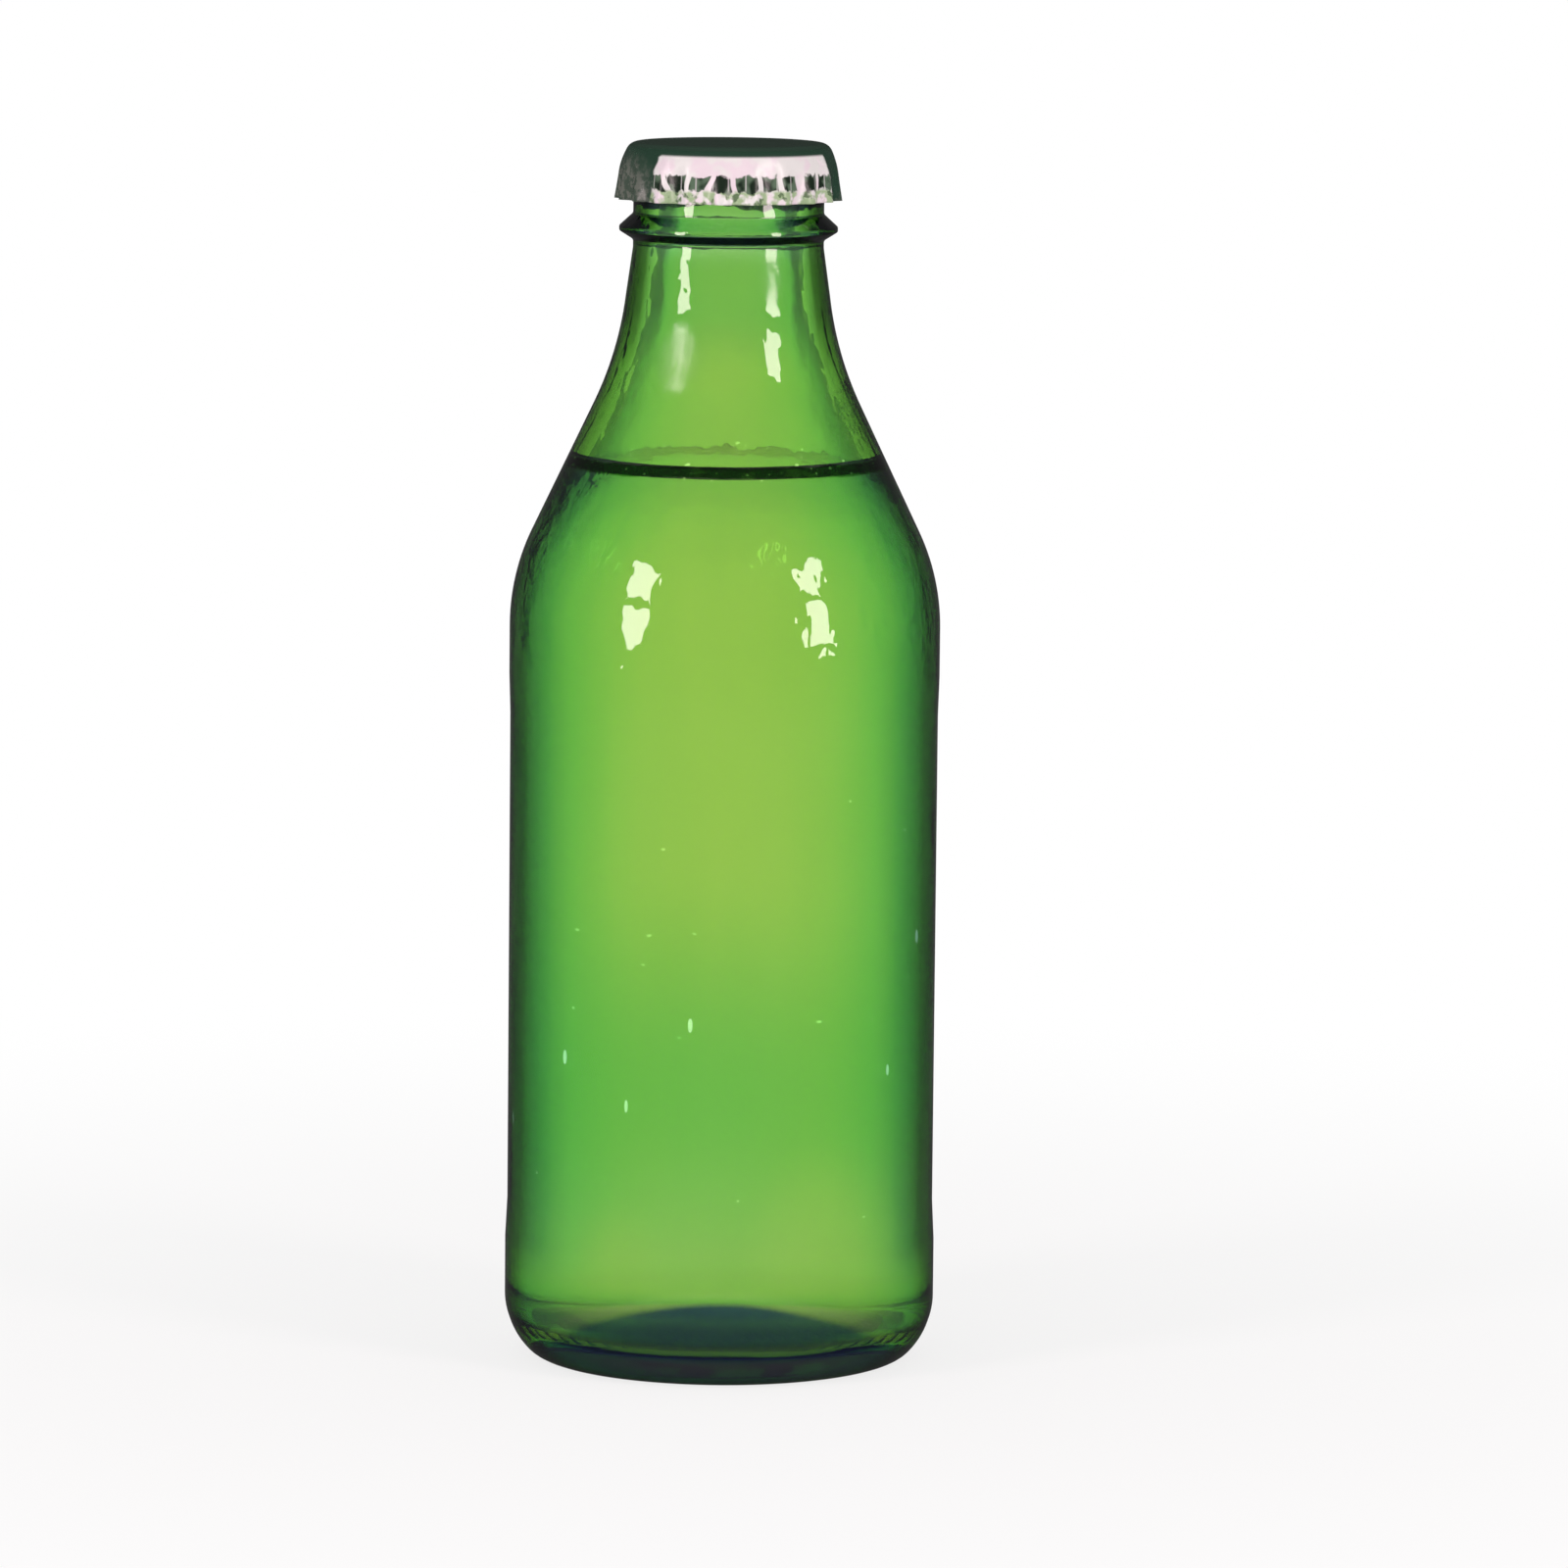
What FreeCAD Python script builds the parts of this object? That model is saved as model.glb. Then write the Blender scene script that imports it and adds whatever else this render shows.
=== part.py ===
import FreeCAD, Part
import math
import os
from types import SimpleNamespace

import Sketcher
from FreeCAD import Vector

# A sealed crown-cap soda bottle of 200 ml: a glass bottle, the drink in it and its crimped cap.
# Millimetres. The bottle stands on z = 0 and its axis is Z. Every piece is round about that axis,
# apart from the flutes of the cap. Angles are in degrees.

# Driving sizes: alias, value and meaning. A height without a named level is that of one stretch
# of the outline, so the stretches add up from the base to the lip.
SIZES = (
    ("wall", 2.4, "glass thickness under the shoulder band and along the shoulder"),
    ("panel_radius", 27.05, "outer radius of the label panel"),
    ("heel_proud", 0.25, "how far the heel contact band stands out from the panel"),
    ("shoulder_proud", 0.15, "how far the shoulder contact band stands out from the panel"),
    ("heel_height", 15.0, "height of the heel, with its contact band"),
    ("band_slope", 5.0, "height over which a contact band eases into the panel"),
    ("panel_height", 62.0, "height of the label panel"),
    ("shoulder_band", 6.2, "height of the shoulder contact band"),
    ("heel_radius", 9.5, "upper radius of the rounded heel"),
    ("toe_radius", 3.8, "lower radius of the rounded heel, down to the bearing ring"),
    ("toe_turn", 46.0, "angle that the lower heel radius turns through"),
    ("bearing_width", 4.1, "width of the flat bearing ring, inwards from the heel"),
    ("bearing_round", 1.2, "round between the bearing ring and the push-up"),
    ("push_up", 3.2, "rise of the underside at its centre"),
    ("shoulder_radius", 28.3, "radius of the shoulder's curve"),
    ("cone_angle", 25.5, "half angle of the cone between shoulder and neck"),
    ("neck_curve", 43.8, "radius of the hollow curve from the cone into the neck"),
    ("neck_angle", 6.9, "half angle of the tapered neck"),
    ("neck_length", 7.1, "height of the tapered neck under the transfer ring"),
    ("neck_radius", 12.0, "outer radius of the neck at the transfer ring and above it"),
    ("ring_proud", 1.75, "how far the transfer ring stands out from the neck"),
    ("ring_under", 1.1, "height of the ring's sloping underside"),
    ("ring_edge", 0.6, "height of the ring's upright edge"),
    ("ring_slope", 1.6, "height of the ring's upper slope"),
    ("ring_round", 0.28, "round of the ring's two outer edges"),
    ("root_round", 0.5, "hollow round where ring and bead rise from the neck"),
    ("finish_neck", 3.9, "height of the plain neck between ring and crown bead"),
    ("bead_under", 1.1, "height of the sloping underside of the crown bead"),
    ("bead_edge", 0.5, "height of the bead's upright edge"),
    ("bead_proud", 1.2, "how far the crown bead, which the cap grips, stands out from the neck"),
    ("lip_round", 3.2, "outer radius of curvature from the bead up to the lip"),
    ("bore_radius", 8.0, "radius of the bore at the lip"),
    ("bore_round", 0.9, "round of the lip's inner edge"),
    ("floor_trough", 4.3, "height of the lowest ring of the inner floor"),
    ("floor_centre", 7.0, "height of the inner floor at its centre"),
    ("floor_corner", 5.5, "radius between the inner floor and the wall"),
    ("fill_drop", 40.0, "depth of the drink's surface below the lip"),
    ("cap_wall", 0.24, "thickness of the cap's steel sheet"),
    ("cap_fit", 0.1, "clearance between the crown bead and the roots of the flutes"),
    ("cap_land", 1.75, "how far inside the bead's radius the cap's flat top ends"),
    ("cap_corner", 1.6, "outer radius of the cap's top corner"),
    ("cap_flare", 25.0, "angle from the axis at which the skirt leaves the corner"),
    ("cap_height", 7.1, "height of the cap from its flat rim ring down to the skirt's edge"),
    ("flute_count", 21, "number of flutes round the skirt"),
    ("flute_depth", 0.86, "depth of a flute at the skirt's edge"),
    ("dome_radius", 8.4, "radius of the panel that gas pressure bulges in the cap's top"),
    ("dome_rise", 0.2, "rise of that panel"),
)

POINTS_PER_FLUTE = 8
SKIRT_RINGS = 6
CORNER_RINGS = 4
FLUTE_GROWTH = 1.3          # how the flutes deepen down the skirt: 1 would be evenly
CREST_SHARPNESS = 2.6       # how narrow the crests are: 2 would be a plain cosine wave
ORIGIN_POINT = (-1, 1)      # the sketch's own origin, as its constraints name it
UPRIGHT_AXIS = -2           # the sketch's own upright axis
RING_MATCH = 0.001          # how near an edge lies to the ring that it is looked up by


def degrees_cos(angle):
    return math.cos(math.radians(angle))


def degrees_sin(angle):
    return math.sin(math.radians(angle))


def degrees_tan(angle):
    return math.tan(math.radians(angle))


def fill_sheet(document):
    """Writes the driving sizes in a sheet and returns the sheet and a reader of its values."""
    sheet = document.addObject("Spreadsheet::Sheet", "Sizes")
    for row, (alias, value, meaning) in enumerate(SIZES, start=1):
        sheet.set(f"A{row}", alias)
        sheet.set(f"B{row}", str(value))
        sheet.set(f"C{row}", meaning)
        sheet.setAlias(f"B{row}", alias)
    document.recompute()
    return SimpleNamespace(**{alias: float(sheet.get(alias)) for alias, _, _ in SIZES})


class Chain:
    """A closed outline in a sketch: lines and arcs drawn in order, each joined to the last."""

    def __init__(self, sketch):
        self.sketch = sketch
        self.links = []

    def add(self, geometry, ends, smooth):
        number = self.sketch.addGeometry(geometry)
        if self.links:
            self.join(self.links[-1], (number, *ends), smooth)
        self.links.append((number, *ends))
        return number

    def join(self, before, after, smooth):
        kind = "Tangent" if smooth else "Coincident"
        self.rule(kind, before[0], before[2], after[0], after[1])

    def line(self, start, end, smooth=False, run=None):
        """Draws a line. run is Horizontal or Vertical where the line is held so."""
        number = self.add(Part.LineSegment(Vector(*start), Vector(*end)), (1, 2), smooth)
        if run:
            self.rule(run, number)
        return number

    def arc(self, centre, radius, first, last, smooth=False):
        """Draws an arc from the angle first to the angle last, clockwise where last is less."""
        circle = Part.Circle(Vector(*centre), Vector(0, 0, 1), radius)
        low, high = sorted((math.radians(first), math.radians(last)))
        ends = (1, 2) if last > first else (2, 1)
        return self.add(Part.ArcOfCircle(circle, low, high), ends, smooth)

    def close(self):
        self.join(self.links[-1], self.links[0], False)

    def start_of(self, number):
        return number, self.links[number][1]

    def end_of(self, number):
        return number, self.links[number][2]

    def rule(self, *terms):
        return self.sketch.addConstraint(Sketcher.Constraint(*terms))

    def size(self, name, formula, *terms):
        """Adds a dimension that follows a formula of the sheet's sizes."""
        self.sketch.renameConstraint(self.rule(*terms), name)
        self.sketch.setExpression(f"Constraints.{name}", formula)

    def reach(self, name, formula, point, value):
        self.size(f"{name}_reach", formula, "DistanceX", *ORIGIN_POINT, *point, value)

    def level(self, name, formula, point, value):
        self.size(f"{name}_level", formula, "DistanceY", *ORIGIN_POINT, *point, value)

    def measure(self, name, direction, point, value):
        """Adds a dimension that only reads off where a point has come to lie."""
        number = self.rule(direction, *ORIGIN_POINT, *point, value)
        self.sketch.setDriving(number, False)
        self.sketch.renameConstraint(number, name)


def outline_stations(size):
    """Works out the levels and centres of the bottle's outline from its sizes."""
    at = SimpleNamespace()
    at.low_band = size.panel_radius + size.heel_proud
    at.high_band = size.panel_radius + size.shoulder_proud
    meet = 90 - size.toe_turn
    step = size.heel_radius - size.toe_radius
    at.heel = (at.low_band - size.heel_radius, step * degrees_sin(meet) + size.toe_radius)
    at.toe = (at.heel[0] + step * degrees_cos(meet), size.toe_radius)
    at.bearing = at.toe[0] - size.bearing_width
    at.panel_foot = size.heel_height + size.band_slope
    at.panel_head = at.panel_foot + size.panel_height
    at.band_foot = at.panel_head + size.band_slope
    at.band_head = at.band_foot + size.shoulder_band
    at.shoulder = (at.high_band - size.shoulder_radius, at.band_head)
    cone = size.cone_angle
    cone_foot = (
        at.shoulder[0] + size.shoulder_radius * degrees_cos(cone),
        at.shoulder[1] + size.shoulder_radius * degrees_sin(cone),
    )
    neck_foot = size.neck_radius + size.neck_length * degrees_tan(size.neck_angle)
    turn = degrees_cos(size.neck_angle) - degrees_cos(cone)
    cone_head = neck_foot + size.neck_curve * turn
    cone_level = cone_foot[1] + (cone_foot[0] - cone_head) / degrees_tan(cone)
    at.neck = (
        cone_head + size.neck_curve * degrees_cos(cone),
        cone_level + size.neck_curve * degrees_sin(cone),
    )
    at.neck_level = at.neck[1] - size.neck_curve * degrees_sin(size.neck_angle)
    at.neck_foot = neck_foot
    at.cone_foot = cone_foot
    at.cone_head = (cone_head, cone_level)
    at.ring = at.neck_level + size.neck_length
    at.ring_low = at.ring + size.ring_under
    at.ring_high = at.ring_low + size.ring_edge
    at.ring_top = at.ring_high + size.ring_slope
    at.ring_reach = size.neck_radius + size.ring_proud
    at.bead_reach = size.neck_radius + size.bead_proud
    at.bead = at.ring_top + size.finish_neck
    at.bead_low = at.bead + size.bead_under
    at.bead_high = at.bead_low + size.bead_edge
    at.lip = at.bead_high + size.lip_round
    return at


def body_sketch(body, name):
    """Starts a sketch on the body's own upright plane, X across and Z up."""
    sketch = body.newObject("Sketcher::SketchObject", name)
    planes = {feature.Role: feature for feature in body.Origin.OriginFeatures}
    sketch.AttachmentSupport = [(planes["XZ_Plane"], "")]
    sketch.MapMode = "FlatFace"
    return sketch


def turn_sketch(body, kind, name, sketch):
    """Turns a sketch fully about the bottle's axis, as a Revolution or a Groove."""
    feature = body.newObject(f"PartDesign::{kind}", name)
    feature.Profile = sketch
    feature.ReferenceAxis = (sketch, ["V_Axis"])
    feature.Angle = 360
    sketch.Document.recompute()
    return feature


def draw_outline(sketch, size, at):
    """Draws the outside of the glass, from the push-up round the heel and up to the lip."""
    chain = Chain(sketch)
    push_radius = (at.bearing ** 2 + size.push_up ** 2) / (2 * size.push_up)
    push_end = 90 - math.degrees(math.asin(at.bearing / push_radius))
    meet = size.toe_turn - 90
    cone = size.cone_angle
    neck = size.neck_radius
    lip_flat = at.bead_reach - size.lip_round

    push = chain.arc((0, size.push_up - push_radius), push_radius, 90, push_end)
    bearing = chain.line((at.bearing, 0), (at.toe[0], 0), run="Horizontal")
    toe = chain.arc(at.toe, size.toe_radius, -90, meet, smooth=True)
    heel = chain.arc(at.heel, size.heel_radius, meet, 0, smooth=True)
    low_band = chain.line((at.low_band, at.heel[1]), (at.low_band, size.heel_height), smooth=True,
                          run="Vertical")
    chain.line((at.low_band, size.heel_height), (size.panel_radius, at.panel_foot))
    panel = chain.line((size.panel_radius, at.panel_foot), (size.panel_radius, at.panel_head),
                       run="Vertical")
    chain.line((size.panel_radius, at.panel_head), (at.high_band, at.band_foot))
    high_band = chain.line((at.high_band, at.band_foot), (at.high_band, at.band_head), run="Vertical")
    shoulder = chain.arc(at.shoulder, size.shoulder_radius, 0, cone, smooth=True)
    chain.line(at.cone_foot, at.cone_head, smooth=True)
    curve = chain.arc(at.neck, size.neck_curve, 180 + cone, 180 + size.neck_angle, smooth=True)
    taper = chain.line((at.neck_foot, at.neck_level), (neck, at.ring), smooth=True)
    under = chain.line((neck, at.ring), (at.ring_reach, at.ring_low))
    edge = chain.line((at.ring_reach, at.ring_low), (at.ring_reach, at.ring_high), run="Vertical")
    chain.line((at.ring_reach, at.ring_high), (neck, at.ring_top))
    plain = chain.line((neck, at.ring_top), (neck, at.bead), run="Vertical")
    chain.line((neck, at.bead), (at.bead_reach, at.bead_low))
    bead = chain.line((at.bead_reach, at.bead_low), (at.bead_reach, at.bead_high), run="Vertical")
    lip = chain.arc((lip_flat, at.bead_high), size.lip_round, 0, 90, smooth=True)
    land = chain.line((lip_flat, at.lip), (0, at.lip), True, "Horizontal")
    axis = chain.line((0, at.lip), (0, size.push_up))
    chain.close()
    chain.rule("PointOnObject", *chain.start_of(axis), UPRIGHT_AXIS)
    chain.rule("PointOnObject", *chain.end_of(axis), UPRIGHT_AXIS)
    chain.rule("PointOnObject", push, 3, UPRIGHT_AXIS)
    chain.rule("PointOnObject", *chain.start_of(bearing), ORIGIN_POINT[0])

    chain.level("push", "Sizes.push_up", chain.start_of(push), size.push_up)
    chain.size("bearing_width", "Sizes.bearing_width", "DistanceX",
               *chain.start_of(bearing), *chain.end_of(bearing), size.bearing_width)
    chain.size("toe_radius", "Sizes.toe_radius", "Radius", toe, size.toe_radius)
    chain.size("toe_turn", "Sizes.toe_turn * 1 deg", "Angle", toe, math.radians(size.toe_turn))
    chain.size("heel_radius", "Sizes.heel_radius", "Radius", heel, size.heel_radius)
    chain.reach("heel", "Sizes.panel_radius + Sizes.heel_proud", chain.end_of(low_band), at.low_band)
    chain.level("heel", "Sizes.heel_height", chain.end_of(low_band), size.heel_height)
    chain.reach("panel", "Sizes.panel_radius", chain.start_of(panel), size.panel_radius)
    foot = "Sizes.heel_height + Sizes.band_slope"
    chain.level("panel_foot", foot, chain.start_of(panel), at.panel_foot)
    head = f"{foot} + Sizes.panel_height"
    chain.level("panel_head", head, chain.end_of(panel), at.panel_head)
    chain.reach("high_band", "Sizes.panel_radius + Sizes.shoulder_proud",
                chain.start_of(high_band), at.high_band)
    band = f"{head} + Sizes.band_slope"
    chain.level("band_foot", band, chain.start_of(high_band), at.band_foot)
    chain.level("band_head", f"{band} + Sizes.shoulder_band", chain.end_of(high_band), at.band_head)
    chain.size("shoulder_radius", "Sizes.shoulder_radius", "Radius", shoulder, size.shoulder_radius)
    chain.size("cone_turn", "Sizes.cone_angle * 1 deg", "Angle", shoulder, math.radians(cone))
    chain.size("neck_curve", "Sizes.neck_curve", "Radius", curve, size.neck_curve)
    chain.size("neck_turn", "(Sizes.cone_angle - Sizes.neck_angle) * 1 deg",
               "Angle", curve, math.radians(cone - size.neck_angle))
    chain.size("neck_length", "Sizes.neck_length", "DistanceY",
               *chain.start_of(taper), *chain.end_of(taper), size.neck_length)
    chain.reach("neck", "Sizes.neck_radius", chain.start_of(under), neck)
    chain.reach("ring", "Sizes.neck_radius + Sizes.ring_proud", chain.start_of(edge), at.ring_reach)
    chain.reach("plain", "Sizes.neck_radius", chain.start_of(plain), neck)
    chain.reach("bead", "Sizes.neck_radius + Sizes.bead_proud", chain.start_of(bead), at.bead_reach)
    stretches = ("ring_under", "ring_edge", "ring_slope", "finish_neck", "bead_under", "bead_edge")
    for number, name in enumerate(stretches, start=under):
        chain.size(name, f"Sizes.{name}", "DistanceY", *chain.start_of(number),
                   *chain.end_of(number), getattr(size, name))
    chain.size("lip_round", "Sizes.lip_round", "Radius", lip, size.lip_round)

    chain.measure("lip_height", "DistanceY", chain.start_of(land), at.lip)
    chain.measure("shoulder_reach", "DistanceX", (shoulder, 3), at.shoulder[0])
    chain.measure("shoulder_level", "DistanceY", (shoulder, 3), at.shoulder[1])
    chain.measure("curve_reach", "DistanceX", (curve, 3), at.neck[0])
    chain.measure("curve_level", "DistanceY", (curve, 3), at.neck[1])


def draw_cavity(sketch, size, at, glass):
    """Draws the inside of the glass: domed floor, wall, shoulder, neck curve and open bore.

    The curves of shoulder and neck share their centres with those of the outside, which glass,
    the name of the outline's sketch, measures. The wall keeps its thickness between them.
    """
    chain = Chain(sketch)
    wall = at.high_band - size.wall
    corner = (wall - size.floor_corner, size.floor_trough + size.floor_corner)
    lift = corner[1] - size.floor_centre
    dome = (corner[0] ** 2 + lift ** 2 - size.floor_corner ** 2) / (2 * (size.floor_corner - lift))
    dome_end = math.degrees(math.atan2(corner[1] - size.floor_centre + dome, corner[0]))
    inner = size.shoulder_radius - size.wall
    outer = size.neck_curve + size.wall
    mouth = (size.bore_radius, at.lip)
    gap = (at.neck[0] - mouth[0], at.neck[1] - mouth[1])
    span = math.hypot(*gap)
    bore_angle = math.degrees(math.atan2(gap[1], gap[0]) - math.asin(outer / span)) + 90
    bore_foot = (
        at.neck[0] - outer * degrees_cos(bore_angle),
        at.neck[1] - outer * degrees_sin(bore_angle),
    )
    cone = size.cone_angle
    cone_foot = (
        at.shoulder[0] + inner * degrees_cos(cone),
        at.shoulder[1] + inner * degrees_sin(cone),
    )
    cone_head = (at.neck[0] - outer * degrees_cos(cone), at.neck[1] - outer * degrees_sin(cone))
    top = at.lip + size.lip_round

    floor = chain.arc((0, size.floor_centre - dome), dome, 90, dome_end)
    heel = chain.arc(corner, size.floor_corner, dome_end - 180, 0, smooth=True)
    side = chain.line((wall, corner[1]), (wall, at.shoulder[1]), True, "Vertical")
    shoulder = chain.arc(at.shoulder, inner, 0, cone, smooth=True)
    chain.line(cone_foot, cone_head, smooth=True)
    curve = chain.arc(at.neck, outer, 180 + cone, 180 + bore_angle, smooth=True)
    bore = chain.line(bore_foot, mouth, smooth=True)
    mouth_side = chain.line(mouth, (size.bore_radius, top), run="Vertical")
    chain.line((size.bore_radius, top), (0, top), run="Horizontal")
    axis = chain.line((0, top), (0, size.floor_centre))
    chain.close()
    chain.rule("PointOnObject", *chain.start_of(axis), UPRIGHT_AXIS)
    chain.rule("PointOnObject", *chain.end_of(axis), UPRIGHT_AXIS)
    chain.rule("PointOnObject", floor, 3, UPRIGHT_AXIS)

    chain.level("floor", "Sizes.floor_centre", chain.start_of(floor), size.floor_centre)
    chain.size("floor_corner", "Sizes.floor_corner", "Radius", heel, size.floor_corner)
    chain.level("corner", "Sizes.floor_trough + Sizes.floor_corner", chain.start_of(side), corner[1])
    chain.reach("side", "Sizes.panel_radius + Sizes.shoulder_proud - Sizes.wall",
                chain.start_of(side), wall)
    for name, number, there in (("shoulder", shoulder, at.shoulder), ("curve", curve, at.neck)):
        chain.reach(name, f"{glass}.Constraints.{name}_reach", (number, 3), there[0])
        chain.level(name, f"{glass}.Constraints.{name}_level", (number, 3), there[1])
    chain.size("curve_radius", "Sizes.neck_curve + Sizes.wall", "Radius", curve, outer)
    chain.reach("bore", "Sizes.bore_radius", chain.end_of(bore), size.bore_radius)
    chain.level("lip", f"{glass}.Constraints.lip_height", chain.end_of(bore), at.lip)
    chain.size("clear_lip", "Sizes.lip_round", "DistanceY", *chain.start_of(mouth_side),
               *chain.end_of(mouth_side), size.lip_round)


def round_rings(body, base, name, alias, rings):
    """Rounds the edges of a body that run round its axis at the given radii and levels."""
    wanted = []
    for number, edge in enumerate(base.Shape.Edges, start=1):
        if edge.Degenerated or not isinstance(edge.Curve, Part.Circle):
            continue
        here = (edge.Curve.Radius, edge.Curve.Center.z)
        if any(math.dist(here, ring) < RING_MATCH for ring in rings):
            wanted.append(f"Edge{number}")
    if len(wanted) != len(rings):
        raise ValueError(f"{name} found {len(wanted)} edges for {len(rings)} rings")
    fillet = body.newObject("PartDesign::Fillet", name)
    fillet.Base = (base, wanted)
    fillet.setExpression("Radius", f"Sizes.{alias}")
    body.Document.recompute()
    return fillet


def make_glass(document, size, at):
    """The bottle: an outline turned about the axis, its rounds, and the cavity cut out of it."""
    body = document.addObject("PartDesign::Body", "bottle_glass")
    outline = body_sketch(body, "glass_outline")
    draw_outline(outline, size, at)
    blank = turn_sketch(body, "Revolution", "blank", outline)
    feature = round_rings(body, blank, "bearing_round", "bearing_round", [(at.bearing, 0)])
    tips = [(at.ring_reach, at.ring_low), (at.ring_reach, at.ring_high)]
    feature = round_rings(body, feature, "ring_round", "ring_round", tips)
    roots = [(size.neck_radius, level) for level in (at.ring, at.ring_top, at.bead)]
    feature = round_rings(body, feature, "root_round", "root_round", roots)
    cavity = body_sketch(body, "glass_cavity")
    draw_cavity(cavity, size, at, "glass_outline")
    hollow = turn_sketch(body, "Groove", "hollow", cavity)
    if hollow.Shape.Volume >= feature.Shape.Volume:
        raise ValueError("the cavity cut nothing out of the glass")
    round_rings(body, hollow, "bore_round", "bore_round", [(size.bore_radius, at.lip)])
    return body


def make_drink(document, size, at):
    """The drink: all of the cavity, less the space above its level."""
    body = document.addObject("PartDesign::Body", "soda")
    cavity = body_sketch(body, "drink_cavity")
    draw_cavity(cavity, size, at, "glass_outline")
    full = turn_sketch(body, "Revolution", "brimful", cavity)
    sketch = body_sketch(body, "headspace_outline")
    chain = Chain(sketch)
    level = at.lip - size.fill_drop
    top = at.lip + 2 * size.lip_round
    surface = chain.line((0, level), (size.panel_radius, level), run="Horizontal")
    side = chain.line((size.panel_radius, level), (size.panel_radius, top), run="Vertical")
    chain.line((size.panel_radius, top), (0, top), run="Horizontal")
    chain.line((0, top), (0, level), run="Vertical")
    chain.close()
    chain.rule("PointOnObject", *chain.start_of(surface), UPRIGHT_AXIS)
    lip = "glass_outline.Constraints.lip_height"
    chain.level("fill", f"{lip} - Sizes.fill_drop * 1 mm", chain.start_of(surface), level)
    chain.reach("side", "Sizes.panel_radius", chain.end_of(surface), size.panel_radius)
    chain.level("top", f"{lip} + 2 mm * Sizes.lip_round", chain.end_of(side), top)
    left = turn_sketch(body, "Groove", "headspace", sketch)
    if left.Shape.Volume >= full.Shape.Volume:
        raise ValueError("the headspace cut nothing off the drink")
    return body


def skirt_profile(size, at, inset):
    """Gives the rings of one side of the cap's sheet as (level, root radius, crest radius).

    An inset of 0 is the outer side and the sheet's thickness is the inner side. The rings run
    down the round corner, where root and crest are one, and on down the skirt: there the roots
    of the flutes draw in to the crown bead and follow it, and the crests stand off them more
    and more.
    """
    top = at.lip + size.cap_wall
    centre = (at.bead_reach - size.cap_land, top - size.cap_corner)
    radius = size.cap_corner - inset
    rings = []
    for step in range(CORNER_RINGS + 1):
        angle = 90 - (90 - size.cap_flare) * step / CORNER_RINGS
        reach = centre[0] + radius * degrees_cos(angle)
        rings.append((centre[1] + radius * degrees_sin(angle), reach, reach))
    corner_end = centre[0] + size.cap_corner * degrees_cos(size.cap_flare)
    corner_level = centre[1] + size.cap_corner * degrees_sin(size.cap_flare)
    grip = at.bead_reach + size.cap_fit + size.cap_wall
    draw_in = 2 * (grip - corner_end) / degrees_tan(size.cap_flare)
    skirt = corner_level - (top - size.cap_height)
    for step in range(1, SKIRT_RINGS + 1):
        drop = skirt * step / SKIRT_RINGS
        left = max(0, 1 - drop / draw_in)
        slope = math.atan(degrees_tan(size.cap_flare) * left)
        root = grip - (grip - corner_end) * left ** 2 - inset / math.cos(slope)
        depth = size.flute_depth * (drop / skirt) ** FLUTE_GROWTH
        rings.append((corner_level - drop, root, root + depth))
    return rings


def fluted_ring(size, level, root, crest):
    """Makes one level ring of the skirt: smooth waves from root to crest, one edge to each.

    The crests are narrower than the roots, as the spare metal of the skirt is gathered in them.
    """
    count = round(size.flute_count)
    edges = []
    for flute in range(count):
        points = []
        for step in range(POINTS_PER_FLUTE + 1):
            share = step / POINTS_PER_FLUTE
            turn = 2 * math.pi * (flute + share) / count
            wave = math.sin(math.pi * share) ** CREST_SHARPNESS
            reach = root + (crest - root) * wave
            points.append(Vector(reach * math.cos(turn), reach * math.sin(turn), level))
        curve = Part.BSplineCurve()
        curve.interpolate(
            points,
            InitialTangent=Vector(-points[0].y, points[0].x, 0),
            FinalTangent=Vector(-points[-1].y, points[-1].x, 0),
        )
        edges.append(curve.toShape())
    return Part.Wire(edges)


def cap_side(size, at, inset):
    """Makes the solid that one side of the cap's sheet encloses, with its bulged top panel."""
    rings = skirt_profile(size, at, inset)
    if inset:
        level, root, crest = rings[-1]
        rings.append((level - size.cap_height, root, crest))
    solid = Part.makeLoft([fluted_ring(size, *ring) for ring in rings], True, False)
    top = rings[0][0]
    ball = (size.dome_radius ** 2 + size.dome_rise ** 2) / (2 * size.dome_rise)
    centre = Vector(0, 0, top + size.dome_rise - ball)
    bulge = Part.makeSphere(ball, centre)
    slab = Part.makeCylinder(size.dome_radius, 2 * size.dome_rise, Vector(0, 0, top))
    return solid.fuse(bulge.common(slab)).removeSplitter()


def make_cap(document, size, at):
    """The crown cap: one sheet of steel, crimped in flutes over the crown bead."""
    cap = document.addObject("Part::Feature", "crown_cap")
    sheet = cap_side(size, at, 0).cut(cap_side(size, at, size.cap_wall))
    cap.Shape = sheet.Solids[0] if len(sheet.Solids) == 1 else sheet
    return cap


def check_document(document, pieces):
    """Stops the build where a feature failed or a piece isn't one sound solid."""
    for item in document.Objects:
        if {"Invalid", "Error"} & set(item.State):
            raise ValueError(f"{item.Name} failed: {item.State}")
    for piece in pieces:
        shape = piece.Shape
        if shape.isNull() or not shape.isValid() or len(shape.Solids) != 1:
            raise ValueError(f"{piece.Label} isn't one sound solid")


def main():
    document = FreeCAD.newDocument("soda_bottle")
    size = fill_sheet(document)
    at = outline_stations(size)
    pieces = [make_glass(document, size, at), make_drink(document, size, at)]
    pieces.append(make_cap(document, size, at))
    document.recompute()
    check_document(document, pieces)
    os.makedirs("parts", exist_ok=True)
    for piece in pieces:
        piece.Shape.exportStep(f"parts/{piece.Label}.step")


main()
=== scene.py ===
"""A small sealed bottle of clear soda: green glass, the drink inside it and a crimped crown cap.

Every length in the classes below is in millimetres and every mesh is in metres. The bottle
stands upright on the origin, with its front towards -Y.
"""

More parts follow.
